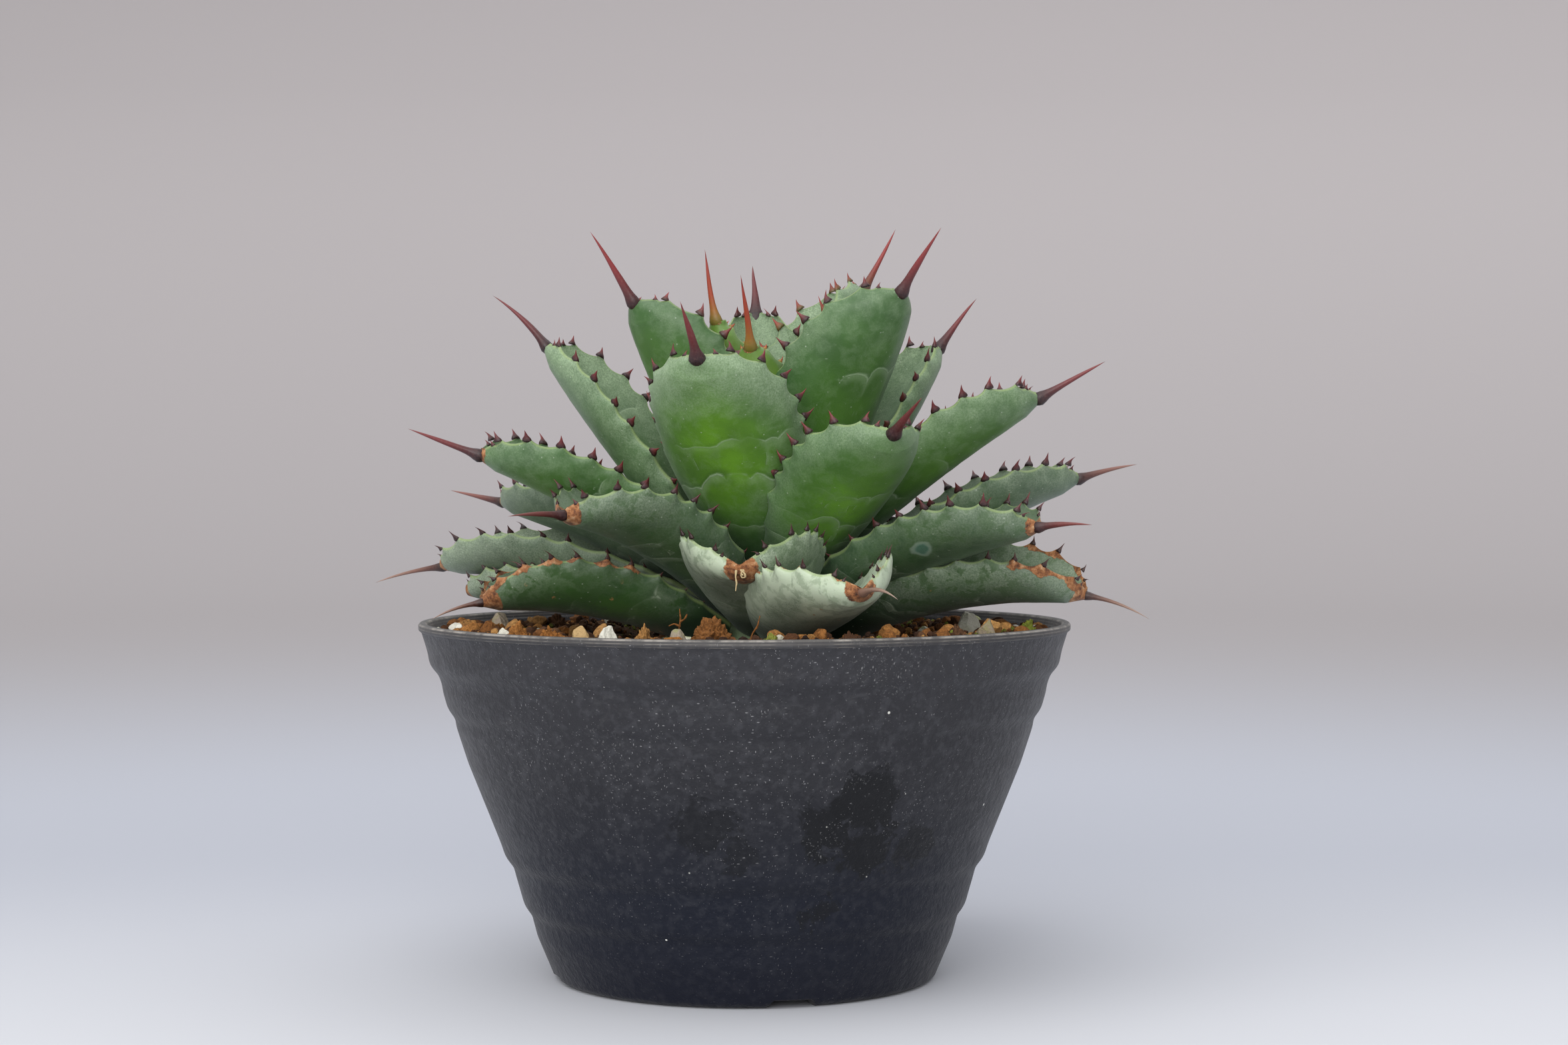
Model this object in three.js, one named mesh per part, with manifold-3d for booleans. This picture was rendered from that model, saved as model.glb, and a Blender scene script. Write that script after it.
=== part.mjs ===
// A young agave rosette in a plain black plastic nursery pot.
// Millimetres, +Z up. The origin is on the ground at the centre of the pot's foot.
// -Y is the front. A leaf's "turn" is measured from the front, positive towards +X.

import * as THREE from "three";
import { mergeVertices } from "three/addons/utils/BufferGeometryUtils.js";
import Module from "manifold-3d";

const wasm = await Module();
wasm.setup();

// ---------------------------------------------------------------- driving dimensions

const POT_HEIGHT = 65.6;
const RIM_RADIUS = 60;
const POT_SIDES = 40;
const WALL = 1.6;
const LIP_HEIGHT = 1.3; // the smooth band at the top of the wall
const WAIST_HEIGHT = 54.6; // the upper of the wall's two shallow waists
const INNER_EDGE = [RIM_RADIUS - WALL - 0.1, POT_HEIGHT - 0.5]; // radius and height inside the lip
const FOOT_INNER_RADIUS = 31;
const RECESS_HEIGHT = 2.2; // the floor's underside stands this far off the ground
const FLOOR_TOP = 4.2;
const DRAIN_RADIUS = 6;
const NOTCH_COUNT = 4; // drain notches through the foot ring
const NOTCH_FIRST_TURN = 13.6;
const NOTCH_BOTTOM_WIDTH = 8;
const NOTCH_TOP_WIDTH = 6;
const NOTCH_HEIGHT = 1.5;

const GAP = 0.3; // clearance between neighbouring pieces
const CUTTER_GROWTH = 0.6; // a little more, because a cutter has fewer facets than its leaf

const SOIL_LEVEL = 63; // at the wall
const SOIL_DIP = 3.4; // the soil is lower round the stem, under the leaves
const SOIL_DIP_RADII = [26, 46]; // the dip is whole within the first and gone past the second
const SOIL_SECTORS = 32;
const SOIL_RINGS = 6;
const GRAIN_HEIGHT = 1.5;
const CLUMP_FOOT = 60; // the clumps are rooted this deep in the soil
const CLUMP_STEP = 0.5; // a clump under a leaf is lowered by steps of this until it is clear

// The soil's largest clumps in front, as seen over the rim: place, half width and height of the top.
const FRONT_CLUMPS = [
  { at: [-41.5, -35], half: 1.8, top: 66.6 },
  { at: [-38.5, -38.5], half: 2.8, top: 68 },
  { at: [-32.5, -43], half: 2.5, top: 67.8 },
  { at: [-27.8, -46.5], half: 1.7, top: 67.4 },
  { at: [-23, -49], half: 2.3, top: 67.6 },
  { at: [-17, -50], half: 2.1, top: 68.2 },
  { at: [-11.3, -52], half: 1.7, top: 67 },
  { at: [-6, -49], half: 3.6, top: 69.2 },
  { at: [4.5, -53], half: 2, top: 66.5 },
  { at: [18.5, -48.5], half: 3.1, top: 67.2 },
  { at: [27, -46], half: 2, top: 66.2 },
  { at: [36.5, -39], half: 2.4, top: 67.4 },
  { at: [42, -33], half: 2.6, top: 68.2 },
  { at: [50.5, -19], half: 1.5, top: 67.2 },
];
const BACK_CLUMPS = 11; // more of them, strewn round the sides and the back
const BACK_CLUMP_TURNS = [75, 285];
const BACK_CLUMP_RADII = [42, 53];
const BACK_CLUMP_HALVES = [1.7, 3.2];
const BACK_CLUMP_TOPS = [65.2, 67.4];

const STEM_X = 5; // the plant stands a little off the pot's axis
const STEM_Y = 1;
const STEM_RADIUS = 8.5;
const STEM_FOOT = 50;
const BUD_TOP = 97; // the furled heart of the rosette
const STEM_SIDES = 12;

const CROWN_LOW = 64.2; // where the oldest leaf leaves the stem
const CROWN_RISE = 18.6; // how much higher the youngest one does
const OLD_BASE_RADIUS = 9.8;
const YOUNG_BASE_RADIUS = 3.9;

const BASE_THICKNESS = 5;
const END_THICKNESS = 2.4;
const BASE_WIDTH = 0.42; // of the leaf's widest
const BASE_FOLD = 0.55; // of the leaf's fold
const WIDEST_AT = 0.6; // of its length
const BLUNT_HALF_WIDTH = 1.3;

const TEETH = 8; // on each margin
const TOOTH_HEIGHT = 3.1;
const TOOTH_HALF_ROOT = 0.95;
const TOOTH_NIPPLE = 0.9;

const SPINE_ROOT = 1.6;
const SPINE_SIDES = 6;

// The leaves from the oldest and lowest to the youngest. Angles are in degrees.
// turn: direction; swing: how far the blade turns sideways on its way out;
// slope: of the midrib at the stem and at the tip; roll: tilt about the midrib;
// length, half: blade length and half width; fold: half angle of the gutter;
// spine: length of the end spine (0 where it is lost) and how far it curves up.
const LEAVES = [
  { turn: -72, swing: 3, slope: [22, -6], roll: 6, length: 46, half: 12.5, fold: 57, spine: [9.6, -23] },
  { turn: 76, swing: 1, slope: [24, -8], roll: 7, length: 50, half: 13.5, fold: 56, spine: [12, -25] },
  { turn: -110, swing: -1, slope: [15, -3], roll: 1, length: 53, half: 9.5, fold: 55, spine: [0, 0] },
  { turn: 16, swing: 10, slope: [6, 14], roll: 6, length: 45, half: 13.4, fold: 65, spine: [13.2, -34] },
  { turn: 176, swing: 0, slope: [16, -2], roll: 0, length: 41, half: 13, fold: 55, spine: [11.2, 0] },
  { turn: -9, swing: 1, slope: [30, 8], roll: 3, length: 31, half: 14.2, fold: 59, spine: [0, 0] },
  { turn: -110, swing: 3, slope: [21, -6], roll: -2, length: 60, half: 12.5, fold: 53, spine: [14.6, -14] },
  { turn: 140, swing: 0, slope: [22, 4], roll: 0, length: 46, half: 13, fold: 55, spine: [11, 0] },
  { turn: -144, swing: 0, slope: [24, 6], roll: 0, length: 44, half: 13, fold: 55, spine: [11, 0] },
  { turn: -47, swing: 3, slope: [38, 5], roll: 0, length: 46, half: 12, fold: 56, spine: [12, -11] },
  { turn: 56, swing: -3, slope: [22, 10], roll: 0, length: 50, half: 12, fold: 54, spine: [10.5, -15] },
  { turn: -116, swing: 0, slope: [26, 11], roll: -2, length: 53, half: 13, fold: 54, spine: [12, -1] },
  { turn: 93, swing: 1, slope: [26, 19], roll: -1, length: 54, half: 12.5, fold: 50, spine: [11.2, -11] },
  { turn: -168, swing: 0, slope: [36, 24], roll: 0, length: 45, half: 13, fold: 55, spine: [11, 0] },
  { turn: -77, swing: 0, slope: [33, 20], roll: -2, length: 53, half: 13, fold: 53, spine: [13.5, 0] },
  { turn: 158, swing: 0, slope: [44, 34], roll: 0, length: 46, half: 13, fold: 55, spine: [11, 0] },
  { turn: -97, swing: -1, slope: [46, 54], roll: -7, length: 55, half: 13, fold: 50, spine: [14, -22] },
  { turn: 28, swing: -7, slope: [35, 32], roll: -4, length: 45, half: 12.5, fold: 53, spine: [11.5, -2] },
  { turn: 111, swing: -1, slope: [58, 54], roll: 6, length: 49, half: 12.5, fold: 44, spine: [12.5, -8] },
  { turn: 81, swing: 0, slope: [40, 30], roll: -2, length: 53, half: 13, fold: 55, spine: [13.5, -2] },
  { turn: -147, swing: 0, slope: [54, 42], roll: 0, length: 40, half: 13, fold: 55, spine: [11, 0] },
  { turn: -20, swing: 4, slope: [44, 49], roll: 4, length: 48, half: 14.5, fold: 47, spine: [12.5, -3] },
  { turn: 48, swing: 0, slope: [70, 53], roll: -6, length: 53, half: 14, fold: 56, spine: [14, -4] },
  { turn: -60, swing: 0, slope: [66, 58], roll: 4, length: 50, half: 13.5, fold: 54, spine: [15, -7] },
  { turn: 188, swing: -4, slope: [70, 68], roll: -4, length: 46, half: 11, fold: 59, spine: [10.5, -3] },
  { turn: 129, swing: -7, slope: [86, 54], roll: -18, length: 50, half: 14, fold: 66, spine: [14.5, 5] },
  { turn: -41, swing: 0, slope: [75, 74], roll: 0, length: 40, half: 5, fold: 55, spine: [13, 4] },
  { turn: -12, swing: -4, slope: [70, 63], roll: 0, length: 36, half: 6.5, fold: 55, spine: [14, -4] },
];

// ---------------------------------------------------------------- materials

const potPlastic = new THREE.MeshStandardMaterial({ color: 0x33353a, roughness: 0.62, metalness: 0 });
const soilMix = new THREE.MeshStandardMaterial({ color: 0x8a5a34, roughness: 0.95, metalness: 0 });
const stemSkin = new THREE.MeshStandardMaterial({ color: 0xa9b58a, roughness: 0.7, metalness: 0 });
const oldLeaf = new THREE.MeshStandardMaterial({ color: 0x5d7b66, roughness: 0.6, metalness: 0 });
const fullLeaf = new THREE.MeshStandardMaterial({ color: 0x66945f, roughness: 0.55, metalness: 0 });
const youngLeaf = new THREE.MeshStandardMaterial({ color: 0x7fa83f, roughness: 0.5, metalness: 0 });
const spineHorn = new THREE.MeshStandardMaterial({ color: 0x6b2b2c, roughness: 0.45, metalness: 0 });

// ---------------------------------------------------------------- small helpers

const radians = THREE.MathUtils.degToRad;
const clamp01 = (value) => Math.min(1, Math.max(0, value));
const mix = (from, to, share) => from + (to - from) * share;

// A repeatable random number from 0 to 1 for item k of row i.
function chance(i, k) {
  const wave = Math.sin(i * 12.9898 + k * 78.233) * 43758.5453;
  return wave - Math.floor(wave);
}

function geometryOf(points, triangles) {
  const geometry = new THREE.BufferGeometry();
  const numbers = points.flatMap((point) => point.toArray());
  geometry.setAttribute("position", new THREE.Float32BufferAttribute(numbers, 3));
  geometry.setIndex(triangles.flat());
  return geometry;
}

function solidOf(geometry) {
  const bare = geometry.clone();
  bare.deleteAttribute("normal");
  bare.deleteAttribute("uv");
  const merged = mergeVertices(bare, 1e-4);
  return new wasm.Manifold(
    new wasm.Mesh({
      numProp: 3,
      vertProperties: new Float32Array(merged.attributes.position.array),
      triVerts: new Uint32Array(merged.index.array),
    }),
  );
}

function geometryFrom(solid) {
  const mesh = solid.getMesh();
  const geometry = new THREE.BufferGeometry();
  geometry.setAttribute("position", new THREE.BufferAttribute(new Float32Array(mesh.vertProperties), 3));
  geometry.setIndex(new THREE.BufferAttribute(new Uint32Array(mesh.triVerts), 1));
  return geometry;
}

// Cutting can leave crumbs beside the piece: only its largest body is kept.
function largestBody(solid) {
  const bodies = solid.decompose();
  return bodies.reduce((best, body) => (body.volume() > best.volume() ? body : best));
}

function boxesMeet(first, second) {
  const a = first.boundingBox();
  const b = second.boundingBox();
  return [0, 1, 2].every((axis) => a.min[axis] <= b.max[axis] && b.min[axis] <= a.max[axis]);
}

function named(name, geometry, material) {
  const mesh = new THREE.Mesh(geometry, material);
  mesh.name = name;
  return mesh;
}

// A surface of revolution about Z from a closed [radius, height] outline.
function turned(outline, sides) {
  const profile = outline.map(([radius, height]) => new THREE.Vector2(radius, height));
  return new THREE.LatheGeometry(profile, sides).rotateX(Math.PI / 2);
}

// ---------------------------------------------------------------- pot

// Outside of the wall from the ground up: a slightly bulged cone with two shallow waists.
const OUTER_WALL = [
  [34.2, 0],
  [35.4, 0.9],
  [38.4, 8],
  [38.9, 10],
  [41.4, 16],
  [42.4, 19.4],
  [45, 25],
  [51, 40],
  [53.6, 48],
  [55.5, 52.7],
  [55.8, WAIST_HEIGHT],
  [57.5, 57.6],
  [59.5, POT_HEIGHT - LIP_HEIGHT - 0.3],
];

function potOutline() {
  const lip = [
    [RIM_RADIUS, POT_HEIGHT - LIP_HEIGHT],
    [RIM_RADIUS, POT_HEIGHT - 0.4],
    [RIM_RADIUS - 0.4, POT_HEIGHT],
    [RIM_RADIUS - WALL + 0.3, POT_HEIGHT],
    INNER_EDGE,
  ];
  const inside = [
    [innerRadius(WAIST_HEIGHT), WAIST_HEIGHT],
    [innerRadius(40), 40],
    [innerRadius(16), 16],
    [innerRadius(FLOOR_TOP), FLOOR_TOP],
    [DRAIN_RADIUS, FLOOR_TOP],
    [DRAIN_RADIUS, RECESS_HEIGHT],
    [FOOT_INNER_RADIUS + 0.6, RECESS_HEIGHT],
    [FOOT_INNER_RADIUS, 0],
  ];
  return [...OUTER_WALL, ...lip, ...inside, OUTER_WALL[0]];
}

function innerRadius(height) {
  const above = OUTER_WALL.findIndex((point) => point[1] > height);
  const [lowRadius, low] = OUTER_WALL[above - 1];
  const [highRadius, high] = OUTER_WALL[above];
  return mix(lowRadius, highRadius, (height - low) / (high - low)) - WALL;
}

function footNotch(index) {
  const outline = new THREE.Shape([
    new THREE.Vector2(-NOTCH_BOTTOM_WIDTH / 2 - 0.7, -1),
    new THREE.Vector2(NOTCH_BOTTOM_WIDTH / 2 + 0.7, -1),
    new THREE.Vector2(NOTCH_TOP_WIDTH / 2, NOTCH_HEIGHT),
    new THREE.Vector2(-NOTCH_TOP_WIDTH / 2, NOTCH_HEIGHT),
  ]);
  const depth = 10;
  const block = new THREE.ExtrudeGeometry(outline, { depth, bevelEnabled: false });
  block.rotateX(Math.PI / 2); // extruded towards -Y, standing up
  block.translate(0, -FOOT_INNER_RADIUS + 2, 0);
  block.rotateZ(radians(NOTCH_FIRST_TURN + (index * 360) / NOTCH_COUNT));
  return block;
}

function makePot() {
  let pot = solidOf(turned(potOutline(), POT_SIDES));
  for (let index = 0; index < NOTCH_COUNT; index++) {
    pot = pot.subtract(solidOf(footNotch(index)));
  }
  return pot;
}

// ---------------------------------------------------------------- soil

// A lumpy top of coarse grains over a plug that fills the pot, with a well for the stem.
function makeSoil() {
  const points = [];
  const triangles = [];
  const wellRadius = STEM_RADIUS + GAP;
  // Rings are centred on the pot at its wall (offset 0) and on the stem at the well (offset 1).
  const ring = (radius, height, offset = 0) => {
    const start = points.length;
    for (let s = 0; s < SOIL_SECTORS; s++) {
      const angle = (2 * Math.PI * s) / SOIL_SECTORS;
      const cx = STEM_X * offset;
      const cy = STEM_Y * offset;
      const z = typeof height === "function" ? height(s, radius) : height;
      points.push(new THREE.Vector3(cx + radius * Math.cos(angle), cy + radius * Math.sin(angle), z));
    }
    return start;
  };
  const join = (low, high) => {
    for (let s = 0; s < SOIL_SECTORS; s++) {
      const next = (s + 1) % SOIL_SECTORS;
      triangles.push([low + s, low + next, high + next], [low + s, high + next, high + s]);
    }
  };
  const lumpy = (index) => (s, radius) => {
    const [low, high] = SOIL_DIP_RADII;
    const dip = SOIL_DIP * (1 - clamp01((radius - low) / (high - low)));
    const grain = (chance(index + 3, s) - 0.5) * 2 * GRAIN_HEIGHT;
    const calm = index === 0 || index === SOIL_RINGS ? 0.35 : 1;
    return SOIL_LEVEL - dip + grain * calm;
  };
  const upTheWall = (SOIL_LEVEL + 0.6 - WAIST_HEIGHT) / (INNER_EDGE[1] - WAIST_HEIGHT);
  const outerTop = mix(innerRadius(WAIST_HEIGHT), INNER_EDGE[0], upTheWall) - GAP - 0.5;
  const floor = FLOOR_TOP + GAP;
  const rings = [ring(innerRadius(floor) - GAP - 0.3, floor), ring(innerRadius(16) - GAP - 0.1, 16)];
  rings.push(ring(innerRadius(40) - GAP - 0.1, 40));
  rings.push(ring(innerRadius(WAIST_HEIGHT) - GAP - 0.1, WAIST_HEIGHT));
  for (let index = 0; index <= SOIL_RINGS; index++) {
    const radius = mix(outerTop, wellRadius, index / SOIL_RINGS);
    rings.push(ring(radius, lumpy(index), index / SOIL_RINGS));
  }
  rings.push(ring(wellRadius, STEM_FOOT - GAP, 1));
  for (let index = 1; index < rings.length; index++) {
    join(rings[index - 1], rings[index]);
  }
  const bottom = points.push(new THREE.Vector3(0, 0, floor)) - 1;
  const well = points.push(new THREE.Vector3(STEM_X, STEM_Y, STEM_FOOT - GAP)) - 1;
  const last = rings[rings.length - 1];
  for (let s = 0; s < SOIL_SECTORS; s++) {
    const next = (s + 1) % SOIL_SECTORS;
    triangles.push([bottom, next, s], [well, last + s, last + next]);
  }
  return solidOf(geometryOf(points, triangles));
}

// A rough clump standing out of the soil: an icosahedron with its corners pushed in and out.
function makeClump({ at, half, top }, index) {
  const geometry = new THREE.IcosahedronGeometry(1);
  const corners = geometry.attributes.position;
  const corner = new THREE.Vector3();
  for (let k = 0; k < corners.count; k++) {
    corner.fromBufferAttribute(corners, k);
    const label = Math.round(10 * (corner.x + 3 * corner.y + 7 * corner.z));
    corner.multiplyScalar(0.85 + 0.3 * chance(index + 5, label));
    corners.setXYZ(k, corner.x, corner.y, corner.z);
  }
  const halfHeight = (top - CLUMP_FOOT) / 2;
  geometry.rotateZ(index);
  geometry.scale(half, half * 0.85, halfHeight);
  geometry.translate(at[0], at[1], top - halfHeight);
  return solidOf(geometry);
}

function allClumps() {
  const between = ([low, high], k, draw) => mix(low, high, chance(k + 31, draw));
  const strewn = Array.from({ length: BACK_CLUMPS }, (_, k) => {
    const [first, last] = BACK_CLUMP_TURNS;
    const turn = radians(mix(first, last, (k + 0.8 * chance(k + 31, 1)) / BACK_CLUMPS));
    const radius = between(BACK_CLUMP_RADII, k, 2);
    return {
      at: [radius * Math.sin(turn), -radius * Math.cos(turn)],
      half: between(BACK_CLUMP_HALVES, k, 3),
      top: between(BACK_CLUMP_TOPS, k, 4),
    };
  });
  return [...FRONT_CLUMPS, ...strewn];
}

// Sinks each clump until it clears the leaves above it, then joins it to the soil.
function withClumps(soil, leafSpaces) {
  const meets = (body, space) => boxesMeet(body, space) && !body.intersect(space).isEmpty();
  return allClumps().reduce((joined, clump, index) => {
    let body = makeClump(clump, index);
    while (leafSpaces.some((space) => meets(body, space))) {
      body = body.translate([0, 0, -CLUMP_STEP]);
    }
    return joined.add(body);
  }, soil);
}

// ---------------------------------------------------------------- stem

// The short stem that carries the rosette, drawn out at its top into the pointed bud of the next
// leaves. It is grown by a margin where it is used as a cutter.
function makeStem(grow = 0) {
  const outline = [
    [0, STEM_FOOT - grow],
    [STEM_RADIUS + grow, STEM_FOOT - grow],
    [STEM_RADIUS + grow, 66],
    [7.4 + grow, 72],
    [5.6 + grow, 78],
    [3.6 + grow, 83],
    [2.6 + grow, 89],
    [0, BUD_TOP + grow],
  ];
  return solidOf(turned(outline, STEM_SIDES).translate(STEM_X, STEM_Y, 0));
}

// ---------------------------------------------------------------- leaves

// Half width along the blade: a waisted base, widest past the middle, a blunt round end.
function outlineShare(u) {
  if (u < WIDEST_AT) {
    return mix(BASE_WIDTH, 1, Math.sin((Math.PI / 2) * (u / WIDEST_AT)));
  }
  const past = (u - WIDEST_AT) / (1 - WIDEST_AT);
  return Math.pow(Math.max(0, 1 - Math.pow(past, 2.3)), 0.62);
}

// The midrib: points and directions (along, across, up) at equal steps.
const MIDRIB_STEPS = 64;

function midribOf(leaf, rank) {
  const age = rank / (LEAVES.length - 1);
  const radius = mix(OLD_BASE_RADIUS, YOUNG_BASE_RADIUS, age);
  const height = CROWN_LOW + CROWN_RISE * Math.pow(age, 1.08);
  const turn = radians(leaf.turn);
  const at = new THREE.Vector3(STEM_X + radius * Math.sin(turn), STEM_Y - radius * Math.cos(turn), height);
  const steps = [];
  for (let step = 0; step <= MIDRIB_STEPS; step++) {
    const u = step / MIDRIB_STEPS;
    const slope = radians(mix(leaf.slope[0], leaf.slope[1], u));
    const heading = radians(leaf.turn + leaf.swing * (u - 0.5));
    const roll = radians(leaf.roll) * (0.4 + 0.6 * u);
    const sin = Math.sin(heading);
    const cos = Math.cos(heading);
    const along = new THREE.Vector3(Math.cos(slope) * sin, -Math.cos(slope) * cos, Math.sin(slope));
    const level = new THREE.Vector3(cos, sin, 0);
    const raised = new THREE.Vector3(-Math.sin(slope) * sin, Math.sin(slope) * cos, Math.cos(slope));
    const across = level.clone().multiplyScalar(Math.cos(roll)).addScaledVector(raised, Math.sin(roll));
    const up = raised.clone().multiplyScalar(Math.cos(roll)).addScaledVector(level, -Math.sin(roll));
    if (step > 0) {
      const before = steps[step - 1];
      at.addScaledVector(before.along.clone().add(along).multiplyScalar(0.5), leaf.length / MIDRIB_STEPS);
    }
    steps.push({ at: at.clone(), along, across, up });
  }
  return steps;
}

function frameAt(midrib, u) {
  const place = clamp01(u) * MIDRIB_STEPS;
  const low = Math.min(MIDRIB_STEPS - 1, Math.floor(place));
  const share = place - low;
  const [before, after] = [midrib[low], midrib[low + 1]];
  const between = (key) => before[key].clone().lerp(after[key], share);
  return { at: between("at"), along: between("along"), across: between("across"), up: between("up") };
}

// A point of the gutter-shaped blade: v runs from -1 to 1 across it, depth is below its upper face.
function bladePoint(leaf, midrib, u, v, depth, grow) {
  const frame = frameAt(midrib, u);
  const half = Math.max(BLUNT_HALF_WIDTH, leaf.half * outlineShare(u)) + grow;
  const fold = radians(leaf.fold) * mix(BASE_FOLD, 1, Math.sin(Math.PI * 0.62 * u));
  const bow = half / fold;
  const angle = fold * v;
  const inward = frame.up.clone().multiplyScalar(Math.cos(angle));
  inward.addScaledVector(frame.across, -Math.sin(angle));
  return frame.at
    .addScaledVector(frame.across, bow * Math.sin(angle))
    .addScaledVector(frame.up, bow * (1 - Math.cos(angle)))
    .addScaledVector(inward, -depth);
}

function thicknessAt(u, v) {
  const end = u > 0.93 ? 1 - 5 * (u - 0.93) : 1;
  return mix(BASE_THICKNESS, END_THICKNESS, u) * Math.sqrt(1 - v * v) * end;
}

// How high the tooth at u stands: small towards the stem and at the very tip.
function toothHeight(u) {
  const fromStem = clamp01((u - 0.15) / 0.35);
  const fromTip = clamp01((1.04 - u) / 0.16);
  return TOOTH_HEIGHT * (0.25 + 0.75 * fromStem) * (0.45 + 0.55 * fromTip);
}

// Where the teeth of a margin stand, as shares of the blade's length.
const toothAt = (k) => 0.24 + 0.72 * Math.pow(k / (TEETH - 1), 0.88);

// The margin on one side as points from the stem to the tip, each with its u. A cutter's margin
// is smooth and runs along the tips of the teeth.
function marginOf(leaf, midrib, rank, side, grow) {
  const tangent = (u) => {
    const ahead = bladePoint(leaf, midrib, Math.min(1, u + 0.01), side, 0, grow);
    return ahead.sub(bladePoint(leaf, midrib, Math.min(1, u + 0.01) - 0.02, side, 0, grow)).normalize();
  };
  const outward = (u) => {
    const edge = bladePoint(leaf, midrib, u, side, 0, grow);
    const within = bladePoint(leaf, midrib, u, side * 0.96, 0, grow);
    const out = edge.sub(within);
    const along = tangent(u);
    return out.addScaledVector(along, -out.dot(along)).normalize();
  };
  const place = (u, out, forward) => {
    const point = bladePoint(leaf, midrib, u, side, -grow, grow);
    point.addScaledVector(outward(u), out).addScaledVector(tangent(u), forward);
    return { u, point };
  };
  const small = leaf.half < 8 ? 0.55 : 1;
  if (grow > 0) {
    const reach = (u) => (u > 0 && u < 1 ? toothHeight(u) * 1.3 * small + GAP : 0);
    return CUTTER_MARGIN.map((u) => place(u, reach(u), u === 1 ? grow : 0));
  }
  const points = [place(0, 0, 0), place(0.12, 0, 0)];
  for (let k = 0; k < TEETH; k++) {
    const wander = (chance(rank + 1, k + (side > 0 ? 40 : 0)) - 0.5) * 0.025;
    const u = toothAt(k) + wander * (k < TEETH - 1 ? 1 : 0.3);
    const root = (TOOTH_HALF_ROOT * (0.7 + 0.3 * small)) / leaf.length;
    const height = toothHeight(u) * small * (0.85 + 0.3 * chance(rank + 1, k + 80));
    const hook = (chance(rank + 1, k + 120) - 0.3) * 0.9 * small;
    const valley = k === 0 ? 0.19 : (toothAt(k - 1) + toothAt(k)) / 2;
    points.push(place(valley, 0, 0));
    const nipple = TOOTH_NIPPLE * small * clamp01(height / 2);
    points.push(place(u - root, nipple, 0));
    points.push(place(u, height, hook));
    points.push(place(Math.min(u + root, 0.985), nipple, 0));
  }
  points.push(place(0.992, 0, 0), place(1, 0, 0));
  return points;
}

// Fills the strip between two rows of points by stepping along whichever lags behind.
function zipRows(inner, outer, add) {
  let i = 0;
  let j = 0;
  while (i < inner.length - 1 || j < outer.length - 1) {
    const innerLags = j === outer.length - 1 || (i < inner.length - 1 && inner[i + 1].u <= outer[j + 1].u);
    if (innerLags) {
      add(inner[i].id, inner[i + 1].id, outer[j].id);
      i++;
    } else {
      add(inner[i].id, outer[j + 1].id, outer[j].id);
      j++;
    }
  }
}

const INNER_ROWS = [-0.56, 0, 0.56];
const CUTTER_STATIONS = [0, 0.11, 0.22, 0.33, 0.46, 0.6, 0.75, 0.88, 1];
const CUTTER_MARGIN = [0, 0.11, 0.22, 0.33, 0.46, 0.6, 0.7, 0.79, 0.86, 0.92, 0.96, 0.985, 1];

function makeLeaf(leaf, rank, grow = 0) {
  const midrib = midribOf(leaf, rank);
  const points = [];
  const triangles = [];
  const keep = (u, point) => ({ u, id: points.push(point) - 1 });
  const teeth = Array.from({ length: TEETH }, (_, k) => toothAt(k));
  const stations = grow > 0 ? CUTTER_STATIONS : [0, 0.12, ...teeth, 1];
  const row = (v, below) =>
    stations.map((u) => {
      const depth = below ? thicknessAt(u, v) + grow : -grow;
      const point = bladePoint(leaf, midrib, u, v, depth, grow);
      if (u === 1) {
        point.addScaledVector(frameAt(midrib, 1).along, grow);
      }
      return keep(u, point);
    });
  const upper = INNER_ROWS.map((v) => row(v, false));
  const lower = INNER_ROWS.map((v) => row(v, true));
  const margins = [-1, 1].map((side) =>
    marginOf(leaf, midrib, rank, side, grow).map(({ u, point }) => keep(u, point)),
  );
  const facing = (a, b, c) => triangles.push([a, c, b]);
  const turnedOver = (a, b, c) => triangles.push([a, b, c]);
  zipRows(upper[0], margins[0], facing);
  zipRows(upper[2], margins[1], turnedOver);
  zipRows(lower[0], margins[0], turnedOver);
  zipRows(lower[2], margins[1], facing);
  for (let r = 0; r < 2; r++) {
    zipRows(upper[r + 1], upper[r], facing);
    zipRows(lower[r + 1], lower[r], turnedOver);
  }
  for (const end of [0, -1]) {
    // The end is a fan from the middle of the lower face round the rest of its outline.
    const pick = (list) => list.at(end).id;
    const hub = pick(lower[1]);
    const rim = [lower[0], margins[0], ...upper, margins[1], lower[2]].map(pick);
    for (let k = 1; k < rim.length; k++) {
      const triangle = [hub, rim[k - 1], rim[k]];
      triangles.push(end === 0 ? triangle : triangle.reverse());
    }
  }
  return solidOf(geometryOf(points, triangles));
}

// ---------------------------------------------------------------- end spines

// Distance along the spine and its thickness there, both as shares.
const SPINE_TAPER = [
  [0, 1],
  [0.12, 0.72],
  [0.35, 0.5],
  [0.7, 0.27],
];

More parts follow.
